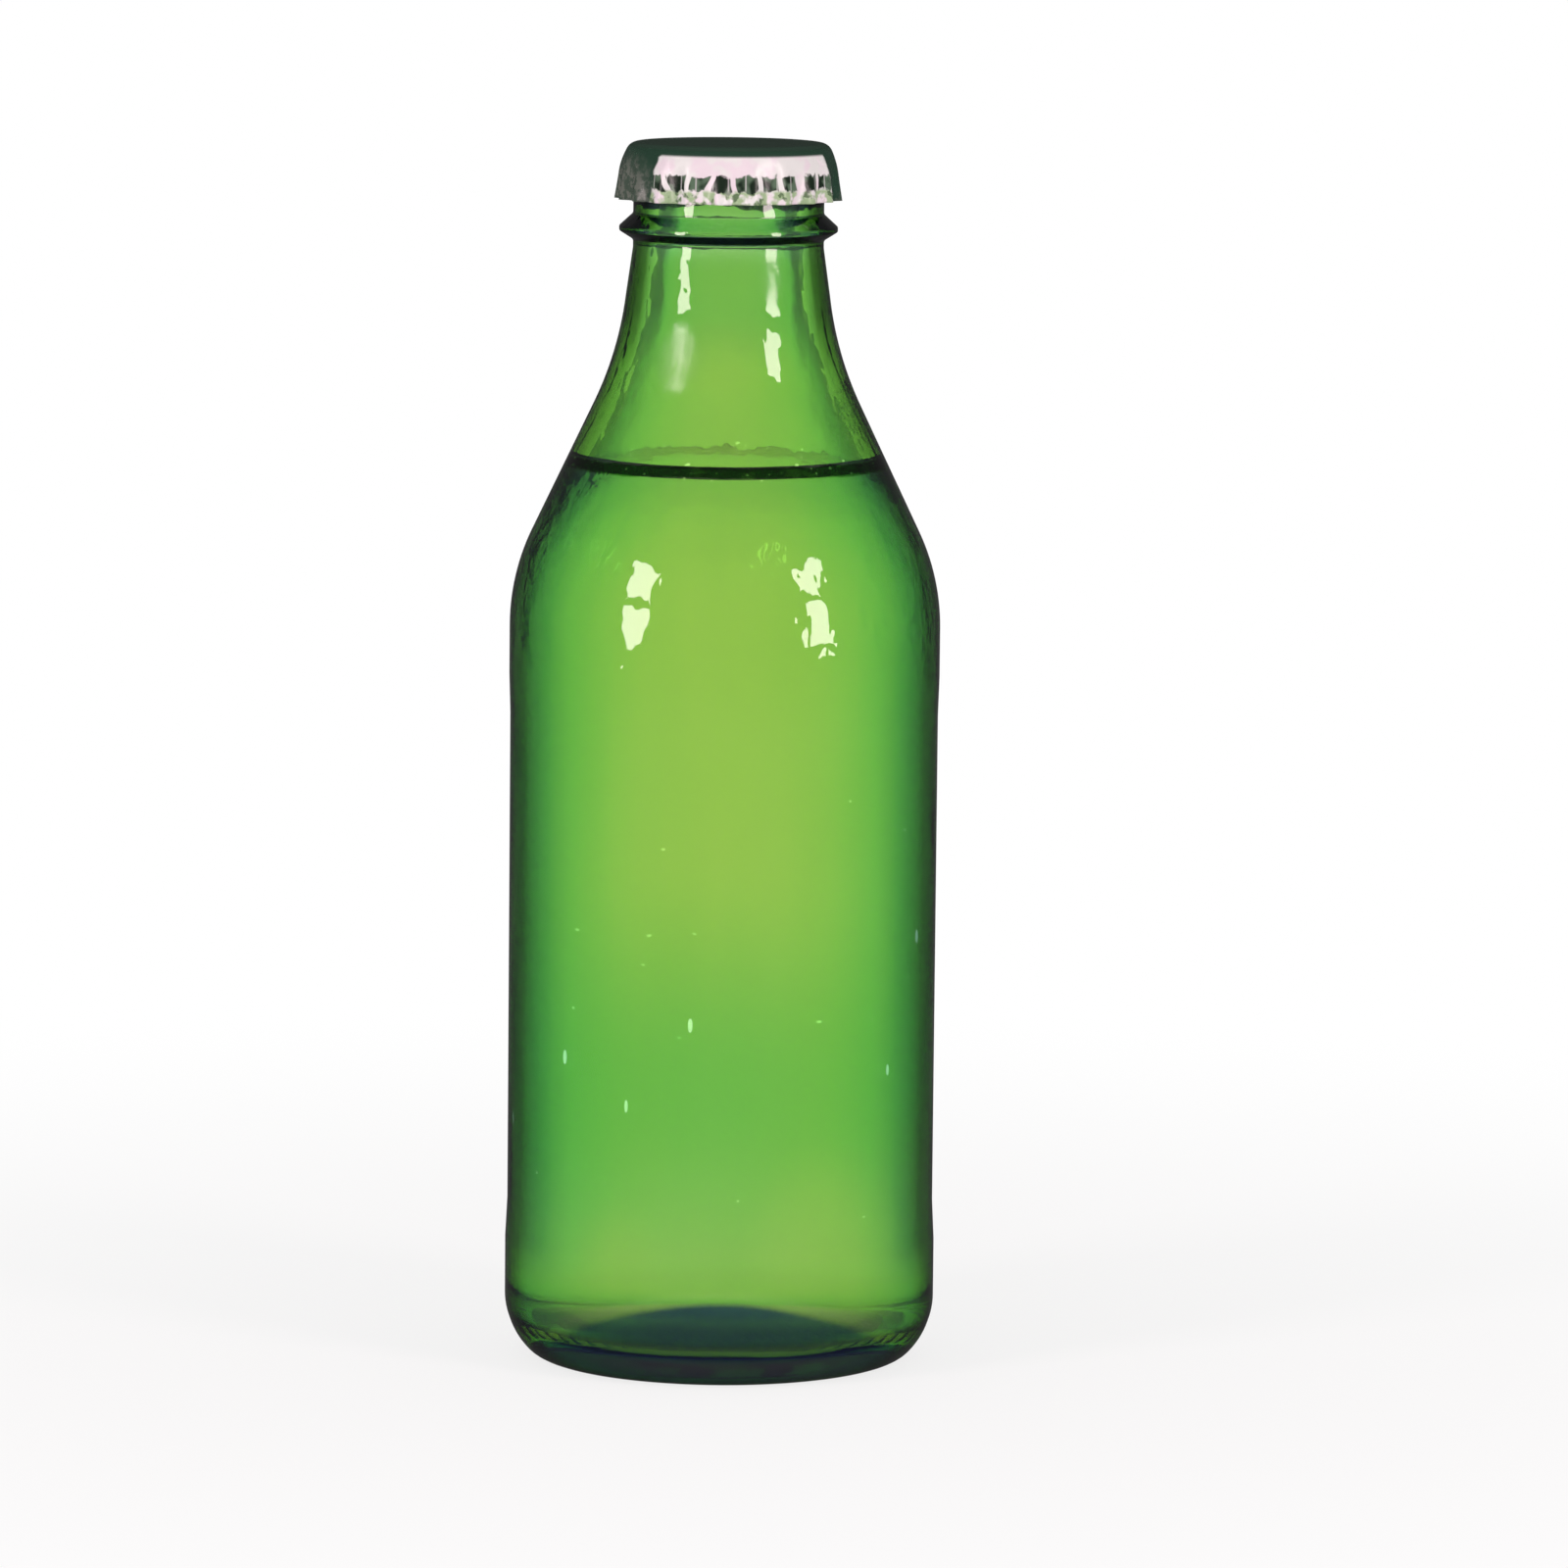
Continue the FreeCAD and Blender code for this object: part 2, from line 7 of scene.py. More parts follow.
import logging
import math
import random
from dataclasses import dataclass
from enum import Enum

import bmesh
import bpy
from mathutils import Matrix, Vector, noise


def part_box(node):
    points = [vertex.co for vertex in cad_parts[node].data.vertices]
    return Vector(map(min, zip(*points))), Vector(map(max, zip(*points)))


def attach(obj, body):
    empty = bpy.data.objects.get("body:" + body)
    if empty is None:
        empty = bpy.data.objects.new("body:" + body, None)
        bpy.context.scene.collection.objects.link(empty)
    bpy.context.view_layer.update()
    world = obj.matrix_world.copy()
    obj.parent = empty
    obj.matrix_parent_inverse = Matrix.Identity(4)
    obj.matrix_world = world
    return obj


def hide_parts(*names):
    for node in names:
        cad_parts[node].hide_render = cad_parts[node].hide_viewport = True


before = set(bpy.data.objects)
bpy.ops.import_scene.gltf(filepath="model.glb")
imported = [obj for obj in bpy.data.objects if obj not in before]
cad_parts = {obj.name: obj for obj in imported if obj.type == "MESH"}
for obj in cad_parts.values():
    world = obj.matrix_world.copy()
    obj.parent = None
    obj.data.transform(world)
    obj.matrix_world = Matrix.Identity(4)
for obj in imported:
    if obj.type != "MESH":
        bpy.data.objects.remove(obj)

LOG = logging.getLogger("soda_bottle")
MM = 0.001
ROUND_STEPS = 288
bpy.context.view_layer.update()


class Side(Enum):
    """Which surface of its piece a point of the half profile belongs to."""

    OUTSIDE = 0
    INSIDE = 1
    FILM = 2


class Ray(Enum):
    """Outputs of Light Path that tell how a surface is being looked at."""

    CAMERA = "Is Camera Ray"
    GLOSSY = "Is Glossy Ray"
    THROUGH = "Is Transmission Ray"


def polar(centre: tuple[float, float], radius: float, angle: float) -> tuple[float, float]:
    """Gives a point of a circle in the profile plane.

    Args:
        centre: Reach and level of the circle's centre.
        radius: Radius of the circle.
        angle: Angle from the outward direction, in degrees.

    Returns:
        Reach and level of the point.
    """
    turn = math.radians(angle)
    return centre[0] + radius * math.cos(turn), centre[1] + radius * math.sin(turn)


class Pen:
    """Draws the half profile of a turned piece as one wire of a bmesh, in the XZ plane.

    Args:
        mesh: The bmesh that takes the wire.
        start: Reach and level of the wire's first point.
    """

    def __init__(self, mesh: bmesh.types.BMesh, start: tuple[float, float]) -> None:
        self.mesh = mesh
        self.side = mesh.verts.layers.int.new("side")
        self.tip = mesh.verts.new(self.place(*start))
        self.tip[self.side] = Side.OUTSIDE.value
        self.corners: list[tuple[bmesh.types.BMVert, float]] = []

    @staticmethod
    def place(reach: float, level: float) -> Vector:
        """Gives the point of the profile plane in metres."""
        return Vector((reach * MM, 0.0, level * MM))

    def enter(self, side: Side) -> None:
        """Marks the tip, and what is drawn after it, as one side of the piece."""
        self.tip[self.side] = side.value

    def line(self, reach: float, level: float, steps: int = 1, rounded: float = 0.0) -> None:
        """Draws a straight stretch from the tip.

        Args:
            reach: Distance of the end from the axis.
            level: Height of the end.
            steps: Number of edges in the stretch.
            rounded: Radius that the corner at the end gets, or 0 for none.
        """
        start, end = self.tip.co.copy(), self.place(reach, level)
        for step in range(1, steps + 1):
            grown = bmesh.ops.extrude_vert_indiv(self.mesh, verts=[self.tip])
            side = self.tip[self.side]
            self.tip = grown["verts"][0]
            self.tip.co = start.lerp(end, step / steps)
            self.tip[self.side] = side
        if rounded:
            self.corners.append((self.tip, rounded))

    def arc(self, centre: tuple[float, float], turn: float, steps: int) -> None:
        """Swings the tip round a centre.

        Args:
            centre: Reach and level of the arc's centre.
            turn: Angle of the swing in degrees, positive from outward to upward.
            steps: Number of edges in the arc.
        """
        swung = bmesh.ops.spin(
            self.mesh, geom=[self.tip], cent=self.place(*centre), axis=(0.0, -1.0, 0.0),
            angle=math.radians(turn), steps=steps, use_merge=False, use_duplicate=False,
            dvec=(0.0, 0.0, 0.0))
        side = self.tip[self.side]
        self.tip = next(v for v in swung["geom_last"] if isinstance(v, bmesh.types.BMVert))
        self.tip[self.side] = side

    def round_corners(self) -> None:
        """Rounds the corners that line() noted, each to its own radius."""
        for vert, radius in self.corners:
            runs = [(edge.other_vert(vert).co - vert.co) for edge in vert.link_edges]
            turn = math.pi - runs[0].angle(runs[1])
            bmesh.ops.bevel(
                self.mesh, geom=[vert], offset=radius * MM * math.tan(turn / 2),
                offset_type="OFFSET", segments=5, profile=0.5, affect="VERTICES",
                material=-1, clamp_overlap=True)

    def turn(self, steps: int = ROUND_STEPS) -> None:
        """Rounds the corners, spins the wire into a closed surface and points its faces out."""
        self.round_corners()
        bmesh.ops.spin(
            self.mesh, geom=self.mesh.verts[:] + self.mesh.edges[:], cent=(0.0, 0.0, 0.0),
            axis=(0.0, 0.0, 1.0), angle=2 * math.pi, steps=steps, use_merge=True,
            use_duplicate=False, dvec=(0.0, 0.0, 0.0))
        bmesh.ops.remove_doubles(self.mesh, verts=self.mesh.verts[:], dist=1e-6)
        bmesh.ops.recalc_face_normals(self.mesh, faces=self.mesh.faces[:])


def finish_piece(mesh: bmesh.types.BMesh, name: str, material: bpy.types.Material) -> bpy.types.Object:
    """Makes a bmesh a smooth-shaded object that rides on the bottle.

    Args:
        mesh: The finished bmesh, which is freed.
        name: Name of the new object.
        material: Its material.

    Returns:
        The new object, at the origin.
    """
    data = bpy.data.meshes.new(name)
    mesh.to_mesh(data)
    mesh.free()
    data.shade_smooth()
    piece = bpy.data.objects.new(name, data)
    bpy.context.scene.collection.objects.link(piece)
    data.materials.append(material)
    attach(piece, "root")
    return piece


class Graph:
    """Places and links the nodes of one node tree.

    Args:
        tree: The tree that gets the nodes.
    """

    def __init__(self, tree: bpy.types.NodeTree) -> None:
        self.tree = tree

    def node(self, kind: str, **settings: object) -> bpy.types.Node:
        """Adds a node.

        Args:
            kind: Its type, without the leading ShaderNode.
            settings: Attributes of the node to set.

        Returns:
            The new node.
        """
        made = self.tree.nodes.new(kind if kind.startswith("NodeGroup") else "ShaderNode" + kind)
        for name, value in settings.items():
            setattr(made, name, value)
        return made

    def feed(self, socket: bpy.types.NodeSocket, source: object) -> None:
        """Links an output to an input, or sets the input where source is a plain value."""
        if isinstance(source, bpy.types.NodeSocket):
            self.tree.links.new(source, socket)
        else:
            socket.default_value = source

    def maths(self, operation: str, first: object, second: object = 0.0,
              clamp: bool = False) -> bpy.types.NodeSocket:
        """Adds a Math node and gives its result."""
        made = self.node("Math", operation=operation, use_clamp=clamp)
        self.feed(made.inputs[0], first)
        if len(made.inputs) > 1:
            self.feed(made.inputs[1], second)
        return made.outputs[0]

    def vector(self, operation: str, first: object, second: object) -> bpy.types.Node:
        """Adds a Vector Math node and gives it."""
        made = self.node("VectorMath", operation=operation)
        self.feed(made.inputs[0], first)
        self.feed(made.inputs[1], second)
        return made

    def blend(self, share: object, first: object, second: object,
              way: str = "MIX") -> bpy.types.NodeSocket:
        """Adds a Mix node for colours and gives its result."""
        made = self.node("Mix", data_type="RGBA", blend_type=way)
        self.feed(made.inputs["Factor"], share)
        self.feed(made.inputs[6], first)
        self.feed(made.inputs[7], second)
        return made.outputs[2]

    def spread(self, value: object, low: float, high: float, start: float = 0.0,
               end: float = 1.0) -> bpy.types.NodeSocket:
        """Adds a smooth Map Range node from low..high to start..end and gives its result."""
        made = self.node("MapRange", interpolation_type="SMOOTHSTEP")
        for socket, number in zip(made.inputs, (value, low, high, start, end)):
            self.feed(socket, number)
        return made.outputs["Result"]

    def ramp(self, value: object, stops: tuple) -> bpy.types.NodeSocket:
        """Adds a colour ramp.

        Args:
            value: What drives the ramp.
            stops: Pairs of position and RGB colour, in order.

        Returns:
            The ramp's colour.
        """
        made = self.node("ValToRGB")
        ends = made.color_ramp.elements
        while len(ends) < len(stops):
            ends.new(0.5)
        for element, (position, colour) in zip(ends, stops):
            element.position = position
            element.color = (*colour, 1.0)
        self.feed(made.inputs[0], value)
        return made.outputs["Color"]

    def grain(self, where: object, scale: float, detail: float = 2.0,
              rough: float = 0.5) -> bpy.types.NodeSocket:
        """Adds a noise pattern and gives its value."""
        made = self.node("TexNoise")
        for name, value in (("Vector", where), ("Scale", scale), ("Detail", detail),
                            ("Roughness", rough)):
            self.feed(made.inputs[name], value)
        return made.outputs["Fac"]

    def bump(self, height: object, distance: float,
             strength: float = 1.0) -> bpy.types.NodeSocket:
        """Adds a Bump node and gives its normal."""
        made = self.node("Bump")
        self.feed(made.inputs["Strength"], strength)
        self.feed(made.inputs["Distance"], distance)
        self.feed(made.inputs["Height"], height)
        return made.outputs["Normal"]

    def place(self, group: bpy.types.NodeTree, **values: object) -> bpy.types.Node:
        """Adds a node group and sets or links its inputs by name."""
        made = self.node("Group")
        made.node_tree = group
        for name, value in values.items():
            self.feed(made.inputs[name.replace("_", " ")], value)
        return made


def new_group(name: str, inputs: tuple, outputs: tuple) -> tuple[Graph, bpy.types.Node, bpy.types.Node]:
    """Makes an empty shader node group.

    Args:
        name: Name of the group.
        inputs: Triples of socket name, socket type and default value.
        outputs: Pairs of socket name and socket type.

    Returns:
        A graph on the group, its input node and its output node.
    """
    tree = bpy.data.node_groups.new(name, "ShaderNodeTree")
    for label, kind, value in inputs:
        socket = tree.interface.new_socket(name=label, in_out="INPUT", socket_type=kind)
        if value is not None:
            socket.default_value = value
    for label, kind in outputs:
        tree.interface.new_socket(name=label, in_out="OUTPUT", socket_type=kind)
    graph = Graph(tree)
    return graph, graph.node("NodeGroupInput"), graph.node("NodeGroupOutput")


@dataclass(frozen=True)
class Effects:
    """The node groups that more than one material of the bottle uses."""

    patch: bpy.types.NodeTree
    ripple: bpy.types.NodeTree
    scuffs: bpy.types.NodeTree

    @classmethod
    def build(cls) -> "Effects":
        """Makes each group once."""
        return cls(cls.soft_patch(), cls.slow_ripple(), cls.fine_scuffs())

    @staticmethod
    def soft_patch() -> bpy.types.NodeTree:
        """Makes the group that masks a soft egg-shaped region round a centre.

        Returns:
            The group, whose Mask is 1 in the middle and 0 outside the three radii.
        """
        graph, given, out = new_group(
            "soft_patch",
            (("Point", "NodeSocketVector", None), ("Centre", "NodeSocketVector", None),
             ("Radii", "NodeSocketVector", (1.0, 1.0, 1.0)), ("Core", "NodeSocketFloat", 0.2)),
            (("Mask", "NodeSocketFloat"),))
        away = graph.vector("SUBTRACT", given.outputs["Point"], given.outputs["Centre"])
        scaled = graph.vector("DIVIDE", away.outputs[0], given.outputs["Radii"])
        length = graph.node("VectorMath", operation="LENGTH")
        graph.feed(length.inputs[0], scaled.outputs[0])
        mask = graph.spread(length.outputs["Value"], given.outputs["Core"], 1.0, 1.0, 0.0)
        graph.feed(out.inputs["Mask"], mask)
        return graph.tree

    @staticmethod
    def slow_ripple() -> bpy.types.NodeTree:
        """Makes the group for the slow unevenness of a surface that cooled from a melt.

        Returns:
            The group, whose Height varies about a half, drawn out along the piece by Stretch.
        """
        graph, given, out = new_group(
            "slow_ripple",
            (("Point", "NodeSocketVector", None), ("Size", "NodeSocketFloat", 90.0),
             ("Stretch", "NodeSocketVector", (1.0, 1.0, 0.5)), ("Fine", "NodeSocketFloat", 0.3)),
            (("Height", "NodeSocketFloat"),))
        drawn = graph.vector("MULTIPLY", given.outputs["Point"], given.outputs["Stretch"])
        slow = graph.grain(drawn.outputs[0], given.outputs["Size"], 1.0)
        quick = graph.maths("MULTIPLY", given.outputs["Size"], 4.3)
        fine = graph.grain(drawn.outputs[0], quick, 2.0)
        added = graph.maths("MULTIPLY_ADD", fine, given.outputs["Fine"])
        graph.tree.links.new(slow, added.node.inputs[2])
        graph.feed(out.inputs["Height"], added)
        return graph.tree

    @staticmethod
    def fine_scuffs() -> bpy.types.NodeTree:
        """Makes the group for hair scratches and handling marks.

        Returns:
            The group, whose Marks is near 0 on clean surface and 1 in a mark.
        """
        graph, given, out = new_group(
            "fine_scuffs",
            (("Point", "NodeSocketVector", None), ("Size", "NodeSocketFloat", 700.0),
             ("Amount", "NodeSocketFloat", 0.4)),
            (("Marks", "NodeSocketFloat"),))
        speck = graph.grain(given.outputs["Point"], given.outputs["Size"], 3.0, 0.6)
        wide = graph.maths("MULTIPLY", given.outputs["Size"], 0.12)
        cloud = graph.grain(given.outputs["Point"], wide, 1.0)
        both = graph.maths("MULTIPLY", speck, cloud)
        edge = graph.maths("SUBTRACT", 0.55, graph.maths("MULTIPLY", given.outputs["Amount"], 0.5))
        marks = graph.spread(both, edge, 0.6)
        graph.feed(out.inputs["Marks"], marks)
        return graph.tree


class Finish:
    """A new material on one Principled BSDF, with its graph and object coordinates at hand.

    Args:
        name: Name of the material.
    """

    def __init__(self, name: str) -> None:
        self.material = bpy.data.materials.new(name)
        self.material.use_nodes = True
        self.material.node_tree.nodes.clear()
        self.graph = Graph(self.material.node_tree)
        self.shader = self.graph.node("BsdfPrincipled")
        self.out = self.graph.node("OutputMaterial")
        self.point = self.graph.node("TexCoord").outputs["Object"]
        self.graph.feed(self.out.inputs["Surface"], self.shader.outputs["BSDF"])

    def give(self, label: str, source: object) -> None:
        """Feeds one input of the shader with a value or an output."""
        self.graph.feed(self.shader.inputs[label], source)


@dataclass(frozen=True)
class GreenGlass:
    """Clear green container glass, absorbing in its depth, with painted shade towards its outline, on
    its base and along the drink's line, and painted light in pale patches and a bright line low down.

    The level of the drink, in metres, is where a band of painted shade marks the drink's line on the
    wall.
    """

    level: float
    absorb: tuple[float, float, float] = (0.603, 0.834, 0.015)
    density: float = 400.0
    index: float = 1.52
    clearness: float = 0.96
    ripple_depth: float = 0.00035
    body: tuple[float, float, float] = (0.815, 0.908, 0.605)
    thick: tuple[float, float, float] = (0.53, 0.89, 0.90)
    low: tuple[float, float, float] = (0.815, 0.908, 0.75)
    # Painted shade: colours that darken the base, the heel band, the foot and the drink's line.
    arch_painted_shade: tuple[float, float, float] = (0.05, 0.09, 1.0)
    base_painted_shade: tuple[float, float, float] = (0.21, 0.36, 1.0)
    band_painted_shade: tuple[float, float, float] = (0.50, 0.19, 0.62)
    foot_painted_shade: tuple[float, float, float] = (0.80, 0.62, 1.0)
    line_painted_shade: tuple[float, float, float] = (0.05, 0.14, 0.06)

    @staticmethod
    def body_rim() -> tuple:
        """Gives the painted shade of the filled body, darker as the surface turns from the eye."""
        return ((0.0, (1.0, 1.0, 1.0)), (0.09, (0.91, 0.99, 1.0)), (0.18, (0.72, 0.96, 1.0)),
                (0.30, (0.51, 0.87, 1.0)), (0.44, (0.21, 0.47, 0.82)),
                (0.52, (0.12, 0.27, 0.66)), (0.66, (0.045, 0.07, 0.25)),
                (0.85, (0.02, 0.04, 0.07)), (1.0, (0.009, 0.02, 0.03)))

    @staticmethod
    def heel_rim() -> tuple:
        """Gives the painted shade of the heel in the same way."""
        return ((0.0, (1.0, 1.0, 1.0)), (0.20, (0.92, 1.0, 1.0)), (0.40, (0.62, 0.94, 1.0)),
                (0.56, (0.36, 0.72, 0.85)), (0.68, (0.16, 0.32, 0.36)),
                (0.80, (0.03, 0.05, 0.05)), (1.0, (0.006, 0.01, 0.012)))

    @staticmethod
    def cone_rim() -> tuple:
        """Gives the painted shade of the empty cone in the same way."""
        return ((0.0, (1.0, 1.0, 1.0)), (0.14, (0.86, 1.0, 1.0)), (0.26, (0.76, 0.99, 1.0)),
                (0.38, (0.50, 0.86, 0.90)), (0.50, (0.24, 0.48, 0.48)),
                (0.63, (0.11, 0.22, 0.22)), (0.76, (0.03, 0.06, 0.06)), (1.0, (0.006, 0.012, 0.015)))

    @staticmethod
    def neck_rim() -> tuple:
        """Gives the painted shade of the neck in the same way."""
        return ((0.0, (0.76, 0.92, 0.97)), (0.08, (0.73, 0.91, 1.0)), (0.20, (0.68, 0.94, 1.0)),
                (0.34, (0.50, 0.86, 1.0)), (0.40, (0.26, 0.50, 0.72)), (0.47, (0.05, 0.10, 0.17)),
                (0.61, (0.012, 0.024, 0.040)), (1.0, (0.003, 0.006, 0.010)))

    def tint(self, effects: Effects, finish: Finish, height: bpy.types.NodeSocket) -> None:
        """Feeds the base colour: painted shade towards the outline at each height, richer regions, pale
        patches of painted light, and painted shade on the base and along the drink's line.
        """
        graph, point = finish.graph, finish.point
        # Painted shade: the colour darkens as the surface turns from the eye, with a ramp for each
        # height.
        facing = graph.node("LayerWeight")
        facing.inputs["Blend"].default_value = 0.5
        turned = facing.outputs["Facing"]
        rim = graph.ramp(turned, self.heel_rim())
        for low, high, stops in ((0.009, 0.017, self.body_rim()), (0.1130, 0.1155, self.cone_rim()),
                                 (0.124, 0.134, self.neck_rim())):
            rim = graph.blend(graph.spread(height, low, high), rim, graph.ramp(turned, stops))
        rich = graph.place(effects.patch, Point=point, Centre=(-0.002, -0.020, 0.037),
                           Radii=(0.036, 0.030, 0.031), Core=0.1)
        rim = graph.blend(rich.outputs["Mask"], rim, (*self.thick, 1.0), "MULTIPLY")
        # Painted light: two pale patches low on the right and the left stand in for light gathered
        # through the bottle.
        for centre, radii, share in (((0.0125, 0.0, 0.014), (0.012, 0.08, 0.020), 0.75),
                                     ((-0.0125, 0.0, 0.013), (0.007, 0.08, 0.013), 0.5)):
            glow = graph.place(effects.patch, Point=point, Centre=centre, Radii=radii, Core=0.25)
            rim = graph.blend(graph.maths("MULTIPLY", glow.outputs["Mask"], share), rim,
                              (1.0, 1.0, 1.0, 1.0))
        side = graph.node("Attribute", attribute_name="side").outputs["Fac"]
        near = graph.maths("MULTIPLY", graph.maths("SUBTRACT", 1.0, side), graph.maths(
            "SUBTRACT", 1.0, graph.node("NewGeometry").outputs["Backfacing"]))
        # Painted shade: a dark arch on the base, on surfaces met from outside.
        arch, line = self.base_arch(graph, turned, height, near)
        shade = graph.blend(graph.spread(height, 0.0080, 0.0102), (*self.base_painted_shade, 1.0),
                            (*self.arch_painted_shade, 1.0))
        rim = graph.blend(arch, rim, shade, "MULTIPLY")
        # Painted shade: a band on the heel and the foot, on surfaces met from outside.
        band = graph.maths("MULTIPLY", graph.spread(height, 0.0038, 0.0045),
                           graph.spread(height, 0.0066, 0.0054))
        foot = graph.spread(height, 0.0050, 0.0032)
        for mask, tone in ((band, self.band_painted_shade), (foot, self.foot_painted_shade)):
            rim = graph.blend(graph.maths("MULTIPLY", mask, near), rim, (*tone, 1.0), "MULTIPLY")
        # Painted shade: a dark band along the drink's line on the wall.
        rim = graph.blend(graph.maths("MULTIPLY", self.line_painted_shade_mask(finish, height), near), rim,
                          (*self.line_painted_shade, 1.0), "MULTIPLY")
        green = graph.blend(graph.spread(height, 0.032, 0.012), (*self.body, 1.0), (*self.low, 1.0))
        streak = graph.vector("MULTIPLY", point, (1.0, 1.0, 0.12))
        streak = graph.spread(graph.grain(streak.outputs[0], 170.0, 2.0), 0.35, 0.65)
        green = graph.blend(streak, green, (0.96, 0.985, 0.97, 1.0), "MULTIPLY")
        green = graph.blend(graph.spread(height, 0.1385, 0.1425), green, (1.0, 1.0, 1.0, 1.0))
        base = graph.blend(1.0, rim, green, "MULTIPLY")
        # Painted highlight: the bright line above the dark arch of the base.
        finish.give("Base Color", graph.blend(line, base, (1.0, 1.0, 1.0, 1.0)))

    def base_arch(self, graph: Graph, turned: bpy.types.NodeSocket, height: bpy.types.NodeSocket,
                  near: bpy.types.NodeSocket) -> tuple[bpy.types.NodeSocket, bpy.types.NodeSocket]:
        """Masks the painted shade on the thick base as the near wall shows it, arched from side to side.

        Args:
            graph: The material's graph.
            turned: How far the surface turns from the eye.
            height: Height in metres.
            near: 1 where a surface is met from outside.

        Returns:
            The mask of the arch of painted shade and that of the painted highlight, a bright line above
            it.
        """
        aside = graph.maths("MAXIMUM", graph.maths("SUBTRACT", turned, 0.018), 0.0)
        fall = graph.maths("DIVIDE", graph.maths("MULTIPLY", aside, 0.023),
                           graph.maths("ADD", graph.maths("MULTIPLY", aside, 1.35), 1.0))
        inside = graph.maths("SUBTRACT", graph.maths("SUBTRACT", 0.0115, fall), height)
        dark = graph.maths("MULTIPLY", graph.spread(inside, -0.0002, 0.0008),
                           graph.spread(height, 0.0030, 0.0042))
        line = graph.maths("MULTIPLY", graph.spread(inside, -0.0018, -0.0008),
                           graph.spread(inside, 0.0, -0.0006, 0.0, 0.6))
        line = graph.maths("MULTIPLY", line, graph.spread(turned, 0.48, 0.25))
        return graph.maths("MULTIPLY", dark, near), graph.maths("MULTIPLY", line, near)

    def line_painted_shade_mask(self, finish: Finish, height: bpy.types.NodeSocket) -> bpy.types.NodeSocket:
        """Gives the mask of the band of painted shade along the drink's line, uneven in width."""
        graph = finish.graph
        wander = graph.maths("MULTIPLY_ADD", graph.grain(finish.point, 260.0, 3.0), 0.0008)
        graph.tree.links.new(height, wander.node.inputs[2])
        foot, head = self.level - 0.00005, self.level + 0.00140
        return graph.maths("MULTIPLY", graph.spread(wander, foot - 0.0001, foot + 0.0002),
                           graph.spread(wander, head + 0.0001, head - 0.0002))

    def surface(self, effects: Effects, finish: Finish, height: bpy.types.NodeSocket) -> None:
        """Feeds the normal and the roughness: ripples, hair scratches and dull patches."""
        graph, point = finish.graph, finish.point
        shoulder = graph.maths("MULTIPLY", graph.spread(height, 0.082, 0.094),
                               graph.spread(height, 0.116, 0.106))
        calm = graph.spread(height, 0.104, 0.124, 0.05, 0.42)
        uneven = graph.maths("MULTIPLY_ADD", shoulder, 0.5)
        graph.tree.links.new(calm, uneven.node.inputs[2])
        ripple = graph.place(effects.ripple, Point=point, Size=70.0, Stretch=(1.0, 1.0, 0.6),
                             Fine=uneven)
        finish.give("Normal", graph.bump(ripple.outputs["Height"], self.ripple_depth))
        scuffs = graph.place(effects.scuffs, Point=point, Size=900.0, Amount=0.25)
        rough = graph.spread(scuffs.outputs["Marks"], 0.0, 1.0, 0.012, 0.12)
        frost = graph.spread(graph.grain(point, 1500.0, 2.0), 0.46, 0.60)
        for centre, radii, depth, frosted in (
                ((-0.0062, -0.0118, 0.1275), (0.006, 0.007, 0.0068), 0.26, False),
                ((0.0055, -0.0105, 0.1385), (0.0035, 0.006, 0.0058), 0.14, False),
                ((0.0155, -0.0060, 0.1215), (0.005, 0.011, 0.0110), 0.28, True)):
            dull = graph.place(effects.patch, Point=point, Centre=centre, Radii=radii, Core=0.35)
            mask = dull.outputs["Mask"]
            if frosted:
                mask = graph.maths("MULTIPLY", mask, frost)
            rough = graph.maths("MAXIMUM", rough, graph.maths("MULTIPLY", mask, depth))
        finish.give("Roughness", rough)

    def make(self, effects: Effects) -> bpy.types.Material:
        """Makes the material."""
        finish = Finish("bottle_glass_finish")
        graph = finish.graph
        parts = graph.node("SeparateXYZ")
        graph.feed(parts.inputs[0], finish.point)
        self.tint(effects, finish, parts.outputs["Z"])
        self.surface(effects, finish, parts.outputs["Z"])
        finish.give("Transmission Weight", self.clearness)
        finish.give("IOR", self.index)
        volume = graph.node("VolumeAbsorption")
        volume.inputs["Color"].default_value = (*self.absorb, 1.0)
        volume.inputs["Density"].default_value = self.density
        graph.feed(finish.out.inputs["Volume"], volume.outputs["Volume"])
        return finish.material


@dataclass(frozen=True)
class StippledFootPaintedShade:
    """The base of the bottle, stippled on its underside and dark with painted shade: an opaque sheet
    that stands in for the shadow under the bottle.
    """

    tone: tuple[float, float, float] = (0.015, 0.036, 0.24)
    faded: tuple[float, float, float] = (0.010, 0.024, 0.13)

    def make(self, effects: Effects) -> bpy.types.Material:
        """Makes the material."""
        finish = Finish("foot_painted_shade_finish")
        graph, point = finish.graph, finish.point
        cloud = graph.spread(graph.grain(point, 160.0, 2.0), 0.35, 0.65, 0.0, 0.35)
        # Painted shade: a dark, opaque colour for the shadow under the bottle; its mottling is random
        # tone.
        finish.give("Base Color", graph.blend(cloud, (*self.tone, 1.0), (*self.faded, 1.0)))
        finish.give("IOR", 1.25)
        dots = graph.spread(graph.grain(point, 1300.0, 1.0), 0.45, 0.60)
        finish.give("Normal", graph.bump(dots, 0.0001))
        scuffs = graph.place(effects.scuffs, Point=point, Size=900.0, Amount=0.6)
        finish.give("Roughness", graph.spread(scuffs.outputs["Marks"], 0.0, 1.0, 0.55, 0.8))
        return finish.material


